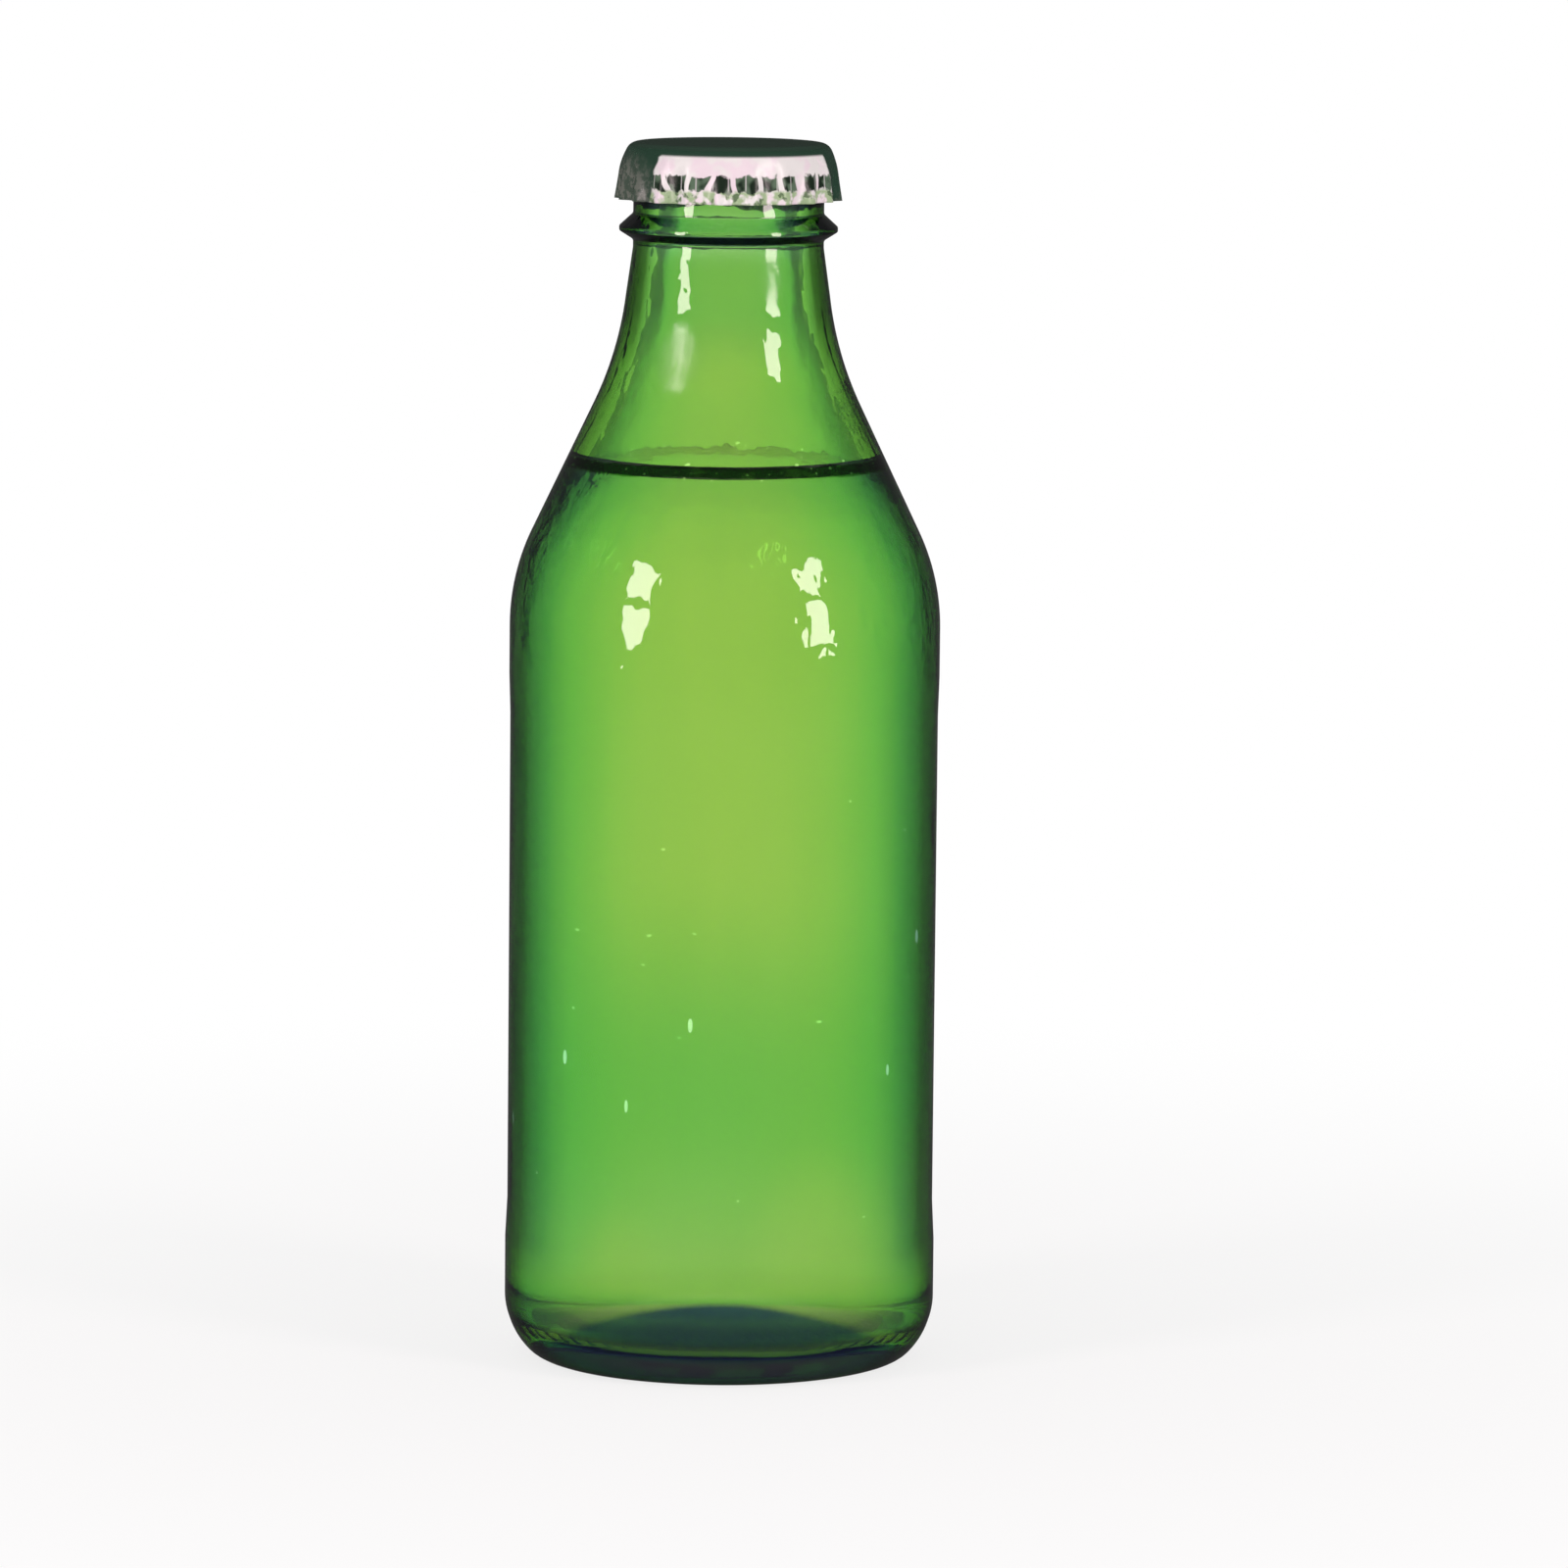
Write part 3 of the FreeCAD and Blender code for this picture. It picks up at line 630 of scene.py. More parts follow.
@dataclass(frozen=True)
class ClearDrink:
    """Clear, nearly colourless soda, with painted shade as a dark line where its film climbs the wall,
    on the side that faces the eye.
    """

    index: float = 1.35
    # Painted shade: the near-black colour of the drink's line.
    line: tuple[float, float, float] = (0.0005, 0.007, 0.001)

    def make(self, effects: Effects) -> bpy.types.Material:
        """Makes the material."""
        finish = Finish("soda_finish")
        graph = finish.graph
        parts = graph.node("SeparateXYZ")
        graph.feed(parts.inputs[0], finish.point)
        low = graph.spread(parts.outputs["Z"], 0.0, 0.1)
        water = graph.blend(low, (0.97, 0.985, 0.95, 1.0), (0.99, 1.0, 0.97, 1.0))
        film = graph.spread(graph.node("Attribute", attribute_name="side").outputs["Fac"], 0.6, 1.6)
        near = graph.maths("SUBTRACT", 1.0, graph.node("NewGeometry").outputs["Backfacing"])
        patchy = graph.spread(graph.grain(finish.point, 420.0, 2.0), 0.30, 0.44, 0.93, 1.0)
        # Painted shade: the film near the drink's line darkens where the surface faces the eye.
        dark = graph.maths("MULTIPLY", graph.maths("MULTIPLY", film, near), patchy)
        finish.give("Base Color", graph.blend(dark, water, (*self.line, 1.0)))
        ripple = graph.place(effects.ripple, Point=finish.point, Size=60.0, Fine=0.1)
        finish.give("Normal", graph.bump(ripple.outputs["Height"], 0.0001))
        finish.give("Roughness", 0.0)
        finish.give("IOR", self.index)
        finish.give("Transmission Weight", 1.0)
        return finish.material


@dataclass(frozen=True)
class PaleBubble:
    """A small bubble, a pale speck that glows by its own emission, which is painted light."""

    tone: tuple[float, float, float] = (0.92, 0.98, 0.88)
    painted_glow: float = 0.35

    def make(self, effects: Effects) -> bpy.types.Material:
        """Makes the material."""
        finish = Finish("bubble_finish")
        graph = finish.graph
        shade = graph.grain(finish.point, 500.0)
        finish.give("Base Color", graph.blend(graph.spread(shade, 0.3, 0.7), (*self.tone, 1.0),
                                              (0.70, 0.88, 0.66, 1.0)))
        scuffs = graph.place(effects.scuffs, Point=finish.point, Size=2000.0, Amount=0.2)
        finish.give("Roughness", graph.spread(scuffs.outputs["Marks"], 0.0, 1.0, 0.06, 0.2))
        finish.give("Transmission Weight", 0.9)
        finish.give("IOR", 1.12)
        # Painted light: the bubbles glow by their own emission.
        finish.give("Emission Color", (*self.tone, 1.0))
        finish.give("Emission Strength", self.painted_glow)
        return finish.material


@dataclass(frozen=True)
class CapLacquer:
    """Dark green lacquer over tinplate, dull on top, with a pale panel at the front and the back that is
    print and partly a painted highlight of a lamp in front.

    A row of dark blocks, partly print and partly painted shade of the flutes' hollows, runs through each
    pale panel.
    The lacquer wears to grey at the tips of the flutes, and a grey patch of painted sheen lies on the
    left side.
    """

    lacquer: tuple[float, float, float] = (0.016, 0.046, 0.028)
    # The pale panel's tones: print, and partly a painted highlight.
    pale: tuple[float, float, float] = (0.66, 0.67, 0.655)
    blush: tuple[float, float, float] = (0.67, 0.60, 0.645)
    leaf: tuple[float, float, float] = (0.30, 0.42, 0.24)
    # Grey of bare tinplate where the lacquer wears off, also used for the painted sheen on the left
    # side.
    bare_and_sheen: tuple[float, float, float] = (0.14, 0.15, 0.13)
    middle: float = 11.0
    half_width: float = 52.0
    spread_down: float = 14.0
    top: float = 0.1533
    blocks: tuple[float, float] = (0.1488, 0.1508)
    pitch: float = 0.22

    def panel(self, finish: Finish, height: bpy.types.NodeSocket,
              wander: bpy.types.NodeSocket) -> bpy.types.NodeSocket:
        """Gives the mask of the two pale panels: print, and partly a painted highlight of a lamp in
        front that widens downwards.
        """
        graph = finish.graph
        turn = math.radians(self.middle)
        along = graph.node("VectorMath", operation="DOT_PRODUCT")
        graph.feed(along.inputs[0], finish.point)
        graph.feed(along.inputs[1], (math.sin(turn), -math.cos(turn), 0.0))
        flat = graph.vector("MULTIPLY", finish.point, (1.0, 1.0, 0.0))
        reach = graph.node("VectorMath", operation="LENGTH")
        graph.feed(reach.inputs[0], flat.outputs[0])
        front = graph.maths("DIVIDE", graph.maths("ABSOLUTE", along.outputs["Value"]),
                            reach.outputs["Value"])
        ragged = graph.maths("MULTIPLY_ADD", wander, 0.06)
        graph.tree.links.new(front, ragged.node.inputs[2])
        down = graph.maths("MULTIPLY", graph.maths("SUBTRACT", self.top, height), self.spread_down)
        ragged = graph.maths("ADD", ragged, down)
        edge = math.cos(math.radians(self.half_width))
        sides = graph.spread(ragged, edge + 0.02, edge + 0.05)
        return graph.maths("MULTIPLY", sides, graph.spread(height, self.top, self.top - 0.0004))

    def row(self, finish: Finish, parts: bpy.types.Node,
            wander: bpy.types.NodeSocket) -> bpy.types.NodeSocket:
        """Gives the mask of the row of dark blocks, partly print and partly painted shade of the flutes'
        hollows, broken where a flute's flank crosses it.
        """
        graph = finish.graph
        low, high = self.blocks
        shifted = graph.maths("MULTIPLY_ADD", wander, 0.0016)
        graph.tree.links.new(parts.outputs["Z"], shifted.node.inputs[2])
        rows = graph.maths("MULTIPLY", graph.spread(shifted, low + 0.0007, low + 0.0010),
                           graph.spread(shifted, high + 0.0009, high + 0.0006))
        back = graph.maths("MULTIPLY", parts.outputs["Y"], -1.0)
        turn = graph.maths("ARCTAN2", parts.outputs["X"], back)
        wobble = graph.maths("MULTIPLY", graph.grain(finish.point, 230.0, 1.0), 7.0)
        phase = graph.maths("MULTIPLY_ADD", turn, 2 * math.pi / self.pitch)
        graph.tree.links.new(wobble, phase.node.inputs[2])
        wide = graph.spread(graph.maths("SINE", phase), -0.80, -0.60)
        crest = graph.node("Attribute", attribute_name="crest").outputs["Fac"]
        flank = graph.maths("ABSOLUTE", graph.maths("SUBTRACT", crest, 0.45))
        clear = graph.spread(flank, 0.03, 0.12, 0.55, 1.0)
        return graph.maths("MULTIPLY", graph.maths("MULTIPLY", rows, wide), clear)

    def wear_and_sheen(self, effects: Effects, finish: Finish,
             height: bpy.types.NodeSocket) -> bpy.types.NodeSocket:
        """Gives the mask of the wear at the flutes' tips, and of painted sheen: a grey patch on the left
        side.
        """
        graph, point = finish.graph, finish.point
        rubbed = graph.spread(graph.grain(point, 1300.0, 3.0, 0.6), 0.40, 0.62)
        tips = graph.maths("MULTIPLY", graph.spread(height, 0.1492, 0.1468), rubbed)
        # Painted sheen: a grey patch on the left side of the skirt.
        left = graph.place(effects.patch, Point=point, Centre=(-0.0132, -0.0050, 0.1485),
                           Radii=(0.0065, 0.011, 0.0058), Core=0.35)
        base = graph.spread(rubbed, 0.0, 1.0, 0.25, 0.75)
        side = graph.maths("MULTIPLY", left.outputs["Mask"], base)
        return graph.maths("MAXIMUM", graph.maths("MULTIPLY", tips, 0.5), side)

    def make(self, effects: Effects) -> bpy.types.Material:
        """Makes the material."""
        finish = Finish("cap_finish")
        graph, point = finish.graph, finish.point
        parts = graph.node("SeparateXYZ")
        graph.feed(parts.inputs[0], point)
        height = parts.outputs["Z"]
        wander = graph.grain(point, 900.0, 2.0)
        # Wear at the flute tips, and painted sheen as a grey patch on the left side.
        wear_and_sheen = self.wear_and_sheen(effects, finish, height)
        coat = graph.blend(wear_and_sheen, (*self.lacquer, 1.0), (*self.bare_and_sheen, 1.0))
        tone = graph.blend(graph.spread(graph.grain(point, 400.0), 0.45, 0.65),
                           (*self.pale, 1.0), (*self.blush, 1.0))
        foot = graph.maths("MULTIPLY", graph.spread(height, self.blocks[0] + 0.0004,
                                                    self.blocks[0] - 0.0002),
                           graph.spread(graph.grain(point, 750.0, 2.0), 0.40, 0.56))
        tone = graph.blend(foot, tone, (*self.leaf, 1.0))
        fleck = graph.maths("MULTIPLY", foot, graph.spread(wander, 0.55, 0.62))
        tone = graph.blend(graph.maths("MULTIPLY", fleck, 0.8), tone, (0.06, 0.11, 0.05, 1.0))
        block_tone = graph.blend(graph.spread(graph.grain(point, 520.0, 1.0), 0.46, 0.60),
                                 (0.009, 0.020, 0.011, 1.0), (0.085, 0.14, 0.09, 1.0))
        # Dark blocks: partly print, partly painted shade of the flutes' hollows.
        tone = graph.blend(self.row(finish, parts, wander), tone, block_tone)
        # Pale panels: print, and partly a painted highlight of a lamp in front.
        shown = self.panel(finish, height, wander)
        finish.give("Base Color", graph.blend(shown, coat, tone))
        scuffs = graph.place(effects.scuffs, Point=point, Size=1600.0, Amount=0.5)
        rough = graph.spread(scuffs.outputs["Marks"], 0.0, 1.0, 0.26, 0.5)
        rough = graph.maths("MAXIMUM", rough, graph.maths("MULTIPLY", wear_and_sheen, 0.5))
        dull_top = graph.spread(height, self.top + 0.0003, self.top + 0.0008, 0.0, 0.85)
        finish.give("Roughness", graph.maths("MAXIMUM", rough, dull_top))
        dents = graph.place(effects.ripple, Point=point, Size=260.0, Stretch=(1.0, 1.0, 1.0), Fine=0.3)
        finish.give("Normal", graph.bump(dents.outputs["Height"], 0.00012))
        finish.give("IOR", 1.38)
        return finish.material


@dataclass(frozen=True)
class BottleSizes:
    """Sizes of the bottle's glass in millimetres and degrees, and the levels they lead to."""

    wall: float = 2.4
    panel_radius: float = 27.05
    low_band: float = 27.3
    high_band: float = 27.2
    heel_height: float = 15.0
    band_slope: float = 5.0
    panel_height: float = 62.0
    shoulder_band: float = 6.2
    heel_radius: float = 9.5
    toe_radius: float = 3.8
    toe_turn: float = 46.0
    bearing_width: float = 4.1
    bearing_round: float = 1.2
    push_up: float = 3.2
    shoulder_radius: float = 28.3
    cone_angle: float = 25.5
    neck_curve: float = 43.8
    neck_angle: float = 6.9
    neck_length: float = 7.1
    neck_radius: float = 12.0
    ring_proud: float = 1.75
    bead_proud: float = 1.2
    lip_round: float = 3.2
    bore_radius: float = 8.0
    bore_round: float = 0.9
    floor_trough: float = 4.3
    floor_centre: float = 7.0
    floor_corner: float = 5.5
    fill_drop: float = 40.0

    @classmethod
    def fitted(cls) -> "BottleSizes":
        """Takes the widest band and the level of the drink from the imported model's own boxes."""
        glass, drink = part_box("bottle_glass"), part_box("soda")
        return cls(low_band=round(glass[1][0] / MM, 2),
                   fill_drop=round((glass[1][2] - drink[1][2]) / MM, 2))

    @property
    def heel(self) -> tuple[float, float]:
        """Centre of the heel's arc."""
        step = self.heel_radius - self.toe_radius
        rise = step * math.sin(math.radians(90 - self.toe_turn)) + self.toe_radius
        return self.low_band - self.heel_radius, rise

    @property
    def toe(self) -> tuple[float, float]:
        """Centre of the arc between the heel and the bearing ring."""
        step = self.heel_radius - self.toe_radius
        return self.heel[0] + step * math.cos(math.radians(90 - self.toe_turn)), self.toe_radius

    @property
    def panel_foot(self) -> float:
        """Level at which the plain panel starts."""
        return self.heel_height + self.band_slope

    @property
    def panel_head(self) -> float:
        """Level at which the plain panel ends."""
        return self.panel_foot + self.panel_height

    @property
    def shoulder(self) -> tuple[float, float]:
        """Centre of the shoulder's arc."""
        top = self.panel_head + self.band_slope + self.shoulder_band
        return self.high_band - self.shoulder_radius, top

    @property
    def neck(self) -> tuple[float, float]:
        """Centre of the hollow curve between cone and neck."""
        cone, taper = math.radians(self.cone_angle), math.radians(self.neck_angle)
        foot = polar(self.shoulder, self.shoulder_radius, self.cone_angle)
        end = self.neck_radius + self.neck_length * math.tan(taper)
        head = end + self.neck_curve * (math.cos(taper) - math.cos(cone))
        level = foot[1] + (foot[0] - head) / math.tan(cone)
        return head + self.neck_curve * math.cos(cone), level + self.neck_curve * math.sin(cone)

    @property
    def ring(self) -> float:
        """Level at which the neck ring starts."""
        taper = math.radians(self.neck_angle)
        return self.neck[1] - self.neck_curve * math.sin(taper) + self.neck_length

    @property
    def lip(self) -> float:
        """Level of the flat top of the lip."""
        return self.bead_foot + 1.6 + self.lip_round

    @property
    def bead_foot(self) -> float:
        """Level at which the bead under the cap starts."""
        return self.ring + 7.2

    @property
    def drink_level(self) -> float:
        """Level of the drink in the middle."""
        return self.lip - self.fill_drop


@dataclass(frozen=True)
class Unevenness:
    """How far the glass strays from a true turned shape, always into the piece's own box."""

    outer_depth: float = 0.10
    inner_depth: float = 0.30
    outer_grain: float = 70.0
    inner_grain: float = 95.0

    def outer(self, point: Vector) -> float:
        """Gives how far an outside point draws in, in metres."""
        seen = noise.noise(Vector((point.x, point.y, point.z * 0.7)) * self.outer_grain)
        return self.outer_depth * MM * (0.5 + 0.5 * seen)

    def inner(self, point: Vector) -> float:
        """Gives how far an inside point draws in, in metres."""
        where = Vector((point.x, point.y, point.z * 0.6)) * self.inner_grain
        seen = noise.noise(where + Vector((7.3, 1.9, 4.1)))
        return self.inner_depth * MM * (0.5 + 0.5 * seen)


def draw_in(vert: bmesh.types.BMVert, depth: float) -> None:
    """Moves a vertex towards the axis by depth, in metres, and leaves one on the axis alone."""
    reach = math.hypot(vert.co.x, vert.co.y)
    if reach > 20 * depth and reach > 1e-4:
        vert.co.x *= 1 - depth / reach
        vert.co.y *= 1 - depth / reach


@dataclass
class Cavity:
    """The inside of the glass, which the glass and the drink both follow."""

    size: BottleSizes
    spare: float = 0.0

    @property
    def corner(self) -> tuple[float, float]:
        """Centre of the arc between the floor and the wall."""
        wall = self.size.high_band - self.size.wall
        return wall - self.size.floor_corner, self.size.floor_trough + self.size.floor_corner

    @property
    def dome(self) -> float:
        """Radius of the domed floor."""
        reach, level = self.corner
        lift, radius = level - self.size.floor_centre, self.size.floor_corner
        return (reach ** 2 + lift ** 2 - radius ** 2) / (2 * (radius - lift))

    @property
    def dome_end(self) -> float:
        """Angle at which the domed floor meets its corner, in degrees."""
        reach, level = self.corner
        return math.degrees(math.atan2(level - self.size.floor_centre + self.dome, reach))

    @property
    def bore_turn(self) -> float:
        """Slope of the bore from the upright, in degrees."""
        size = self.size
        gap = (size.neck[0] - size.bore_radius, size.neck[1] - size.lip)
        outer = size.neck_curve + size.wall
        return math.degrees(math.atan2(gap[1], gap[0]) - math.asin(outer / math.hypot(*gap))) + 90

    def floor_start(self) -> tuple[float, float]:
        """Gives the middle of the floor."""
        return 0.0, self.size.floor_centre - self.spare

    def draw_up(self, pen: Pen) -> None:
        """Draws from the middle of the floor up to the foot of the cone."""
        size, spare = self.size, self.spare
        centre = (0.0, size.floor_centre - self.dome)
        pen.arc(centre, self.dome_end - 90, 12)
        pen.arc(self.corner, 180 - self.dome_end, 12)
        pen.line(size.high_band - size.wall + spare, size.shoulder[1], 40)
        pen.arc(size.shoulder, size.cone_angle, 12)


@dataclass
class BottleGlass:
    """The bottle's glass: foot, panel, shoulder, neck ring, crown bead and bore, in one piece."""

    size: BottleSizes
    uneven: Unevenness
    seam: float = 0.4
    seam_depth: float = 0.05
    notches: int = 48
    notch_depth: float = 0.15
    dull_floor: float = 0.0

    def draw_outside(self, pen: Pen) -> None:
        """Draws the outside from the push-up to the lip."""
        size = self.size
        bearing = size.toe[0] - size.bearing_width
        push = (bearing ** 2 + size.push_up ** 2) / (2 * size.push_up)
        sweep = math.degrees(math.asin(bearing / push))
        pen.arc((0.0, size.push_up - push), -sweep, 7)
        pen.corners.append((pen.tip, size.bearing_round))
        pen.line(size.toe[0], 0.0, 5)
        pen.arc(size.toe, 90 - (90 - size.toe_turn), 6)
        pen.arc(size.heel, 90 - size.toe_turn, 12)
        pen.line(size.low_band, size.heel_height, 4)
        pen.line(size.panel_radius, size.panel_foot, 3)
        pen.line(size.panel_radius, size.panel_head, 36)
        pen.line(size.high_band, size.panel_head + size.band_slope, 3)
        pen.line(size.high_band, size.shoulder[1], 4)
        pen.arc(size.shoulder, size.cone_angle, 14)
        pen.line(*polar(size.neck, size.neck_curve, 180 + size.cone_angle), 12)
        pen.arc(size.neck, size.neck_angle - size.cone_angle, 14)
        pen.line(size.neck_radius, size.ring - 1.0, 5)

    def draw_finish(self, pen: Pen) -> None:
        """Draws the neck ring, the bead and the lip."""
        size = self.size
        neck, ring, bead = size.neck_radius, size.ring, size.bead_foot
        tip, edge = neck + size.ring_proud, neck + size.bead_proud
        pen.line(neck, ring, rounded=0.5)
        pen.line(tip, ring + 1.1, rounded=0.28)
        pen.line(tip, ring + 1.7, rounded=0.28)
        pen.line(neck, ring + 3.3, rounded=0.5)
        pen.line(neck, ring + 4.2)
        pen.line(neck, bead - 1.0, 2)
        pen.line(neck, bead, rounded=0.5)
        pen.line(edge, bead + 1.1, rounded=0.28)
        pen.line(edge, bead + 1.6)
        pen.arc((edge - size.lip_round, bead + 1.6), 90, 10)

    def draw_inside(self, pen: Pen) -> None:
        """Draws the bore and the wall from the lip down to the middle of the floor."""
        size, cavity = self.size, Cavity(self.size)
        outer, inner = size.neck_curve + size.wall, size.shoulder_radius - size.wall
        foot = polar(size.neck, outer, 180 + cavity.bore_turn)
        mouth = (size.bore_radius, size.lip)
        step = 2.0 / (size.lip - foot[1])
        start = (mouth[0] + (foot[0] - mouth[0]) * step, mouth[1] - 2.0)
        pen.line(*mouth, rounded=size.bore_round)
        pen.enter(Side.INSIDE)
        pen.line(*start)
        pen.line(*foot, 14)
        pen.arc(size.neck, size.cone_angle - cavity.bore_turn, 14)
        pen.line(*polar(size.shoulder, inner, size.cone_angle), 12)
        pen.arc(size.shoulder, -size.cone_angle, 12)
        pen.line(size.high_band - size.wall, cavity.corner[1], 40)
        pen.arc(cavity.corner, cavity.dome_end - 180, 12)
        pen.arc((0.0, size.floor_centre - cavity.dome), 90 - cavity.dome_end, 10)

    def on_base(self, vert: bmesh.types.BMVert, side: bmesh.types.BMLayerItem) -> bool:
        """Tells whether a vertex is on the underside or on the flat of the floor inside."""
        reach, level = math.hypot(vert.co.x, vert.co.y) / MM, vert.co.z / MM
        if vert[side] == Side.INSIDE.value:
            return reach < self.dull_floor and level < self.size.floor_centre + 0.3
        bearing = self.size.toe[0] - self.size.bearing_width
        return reach < bearing - 0.3 and level < self.size.push_up + 0.1

    def knurl(self, mesh: bmesh.types.BMesh) -> None:
        """Presses a ring of shallow notches into the flat that the bottle stands on."""
        outer = self.size.toe[0]
        for vert in mesh.verts:
            reach = math.hypot(vert.co.x, vert.co.y) / MM
            if vert.co.z < 1e-6 and outer - self.size.bearing_width + 0.8 < reach < outer - 0.6:
                turn = math.atan2(vert.co.y, vert.co.x)
                if math.sin(self.notches * turn) > 0.1:
                    vert.co.z += self.notch_depth * MM

    def build(self, finish: bpy.types.Material, foot: bpy.types.Material) -> bpy.types.Object:
        """Builds the glass and dresses it.

        Args:
            finish: The glass material.
            foot: The material of the underside, dark with painted shade.

        Returns:
            The glass, which stands for the CAD node.
        """
        mesh = bmesh.new()
        pen = Pen(mesh, (0.0, self.size.push_up))
        self.draw_outside(pen)
        self.draw_finish(pen)
        self.draw_inside(pen)
        pen.turn()
        side = mesh.verts.layers.int["side"]
        top = (self.size.ring - 1.0) * MM
        for vert in mesh.verts:
            if vert[side] == Side.INSIDE.value:
                draw_in(vert, self.uneven.inner(vert.co))
            else:
                fade = min(1.0, max(0.0, (top - vert.co.z) / 0.012))
                seam = math.exp(-(vert.co.y / (self.seam * MM)) ** 2)
                draw_in(vert, (self.uneven.outer(vert.co) + self.seam_depth * MM) * fade * (1 - seam))
        self.knurl(mesh)
        # The underside gets the foot material, a dark sheet of painted shade.
        for face in mesh.faces:
            if all(self.on_base(vert, side) for vert in face.verts):
                face.material_index = 1
        piece = finish_piece(mesh, "glass_bottle", finish)
        piece.data.materials.append(foot)
        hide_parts("bottle_glass")
        return piece


@dataclass
class Drink:
    """The soda: it fills the glass to its level, and its surface climbs the wall a little."""

    size: BottleSizes
    uneven: Unevenness
    spare: float = 0.08
    climb: float = 0.55
    climb_reach: float = 0.7
    film_foot: float = 1.05

    def wall(self, level: float) -> float:
        """Gives how far from the axis the drink's wall is at a level of the cone."""
        size = self.size
        foot = polar(size.shoulder, size.shoulder_radius - size.wall + self.spare, size.cone_angle)
        head = polar(size.neck, size.neck_curve + size.wall - self.spare, 180 + size.cone_angle)
        return foot[0] + (head[0] - foot[0]) * (level - foot[1]) / (head[1] - foot[1])

    def calm_back(self, vert: bmesh.types.BMVert) -> None:
        """Lowers the climb of a vertex behind the axis, where the wall is less wetted."""
        level = self.size.drink_level * MM
        reach = math.hypot(vert.co.x, vert.co.y)
        if vert.co.z > level + 1e-7 and reach > 1e-4:
            front = min(1.0, max(0.0, 0.5 - vert.co.y / reach))
            vert.co.z = level + (vert.co.z - level) * (0.1 + 0.9 * front)

    def build(self, finish: bpy.types.Material) -> bpy.types.Object:
        """Builds the drink and dresses it.

        Args:
            finish: The drink's material.

        Returns:
            The drink, which stands for the CAD node.
        """
        size = self.size
        cavity = Cavity(size, self.spare)
        mesh = bmesh.new()
        pen = Pen(mesh, cavity.floor_start())
        cavity.draw_up(pen)
        edge, rest = size.drink_level + self.climb, size.drink_level - self.film_foot
        pen.line(self.wall(rest), rest, 9)
        pen.line(self.wall(rest + 0.1), rest + 0.1)
        pen.enter(Side.FILM)
        pen.line(self.wall(edge), edge, 4)
        for step in range(1, 11):
            part = 1 - step / 10
            pen.line(self.wall(edge) - self.climb_reach * (1 - part),
                     size.drink_level + self.climb * part ** 5)
            pen.enter(Side.OUTSIDE)
        pen.line(0.0, size.drink_level, 6)
        pen.turn()
        for vert in mesh.verts:
            self.calm_back(vert)
            draw_in(vert, self.uneven.inner(vert.co))
        piece = finish_piece(mesh, "soda_fill", finish)
        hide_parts("soda")
        return piece


@dataclass
class Bubbles:
    """Small bubbles: along the drink's line, here and there on the wall, and in the glass."""

    size: BottleSizes
    uneven: Unevenness
    drink: Drink
    on_line: int = 70
    on_wall: int = 26
    in_glass: int = 7
    seeds: tuple[tuple[float, float], ...] = ((-26.4, 35.5), (-8.4, 46.1))

    @staticmethod
    def blow(mesh: bmesh.types.BMesh, place: Vector, radius: float, length: float) -> None:
        """Adds one bubble.

        Args:
            mesh: The bmesh that gets it.
            place: Its centre in metres.
            radius: Half its width in millimetres.
            length: Half its height in millimetres.
        """
        shape = Matrix.Diagonal((radius * MM, radius * MM, length * MM, 1.0))
        bmesh.ops.create_icosphere(mesh, subdivisions=2, radius=1.0,
                                   matrix=Matrix.Translation(place) @ shape)

    def settle(self, reach: float, level: float, azimuth: float) -> Vector:
        """Gives a point at a reach, level and azimuth, drawn in as the inner wall is there."""
        turn = math.radians(azimuth)
        aim = Vector((math.sin(turn), -math.cos(turn), 0.0))
        point = aim * reach * MM + Vector((0.0, 0.0, level * MM))
        return point - aim * self.uneven.inner(point)

    def build(self, finish: bpy.types.Material) -> tuple[bpy.types.Object, bpy.types.Object]:
        """Builds the bubbles in the drink and those in the glass.

        Args:
            finish: The bubble material.

        Returns:
            The two pieces.
        """
        dice = random.Random(7)
        inner = self.size.high_band - self.size.wall
        mesh = bmesh.new()
        for _ in range(self.on_line):
            level = self.size.drink_level + dice.uniform(-1.2, 0.8)
            radius = dice.choice((0.10, 0.13, 0.16, 0.24))
            reach = self.drink.wall(level) - 0.02
            self.blow(mesh, self.settle(reach, level, dice.uniform(0, 360)), radius, radius * 0.8)
        for _ in range(self.on_wall):
            radius = dice.uniform(0.09, 0.2)
            place = self.settle(inner - 0.4 * radius, dice.uniform(14, 90), dice.uniform(0, 360))
            self.blow(mesh, place, radius, radius)
        fizz = finish_piece(mesh, "soda_bubbles", finish)
        mesh = bmesh.new()
        loose = [(dice.uniform(30, 330), dice.uniform(20, 100)) for _ in range(self.in_glass)]
        for azimuth, level in (*self.seeds, *loose):
            place = self.settle(self.size.panel_radius - 0.75, level, azimuth)
            self.blow(mesh, place, dice.uniform(0.22, 0.32), dice.uniform(0.55, 0.95))
        return fizz, finish_piece(mesh, "glass_seeds", finish)


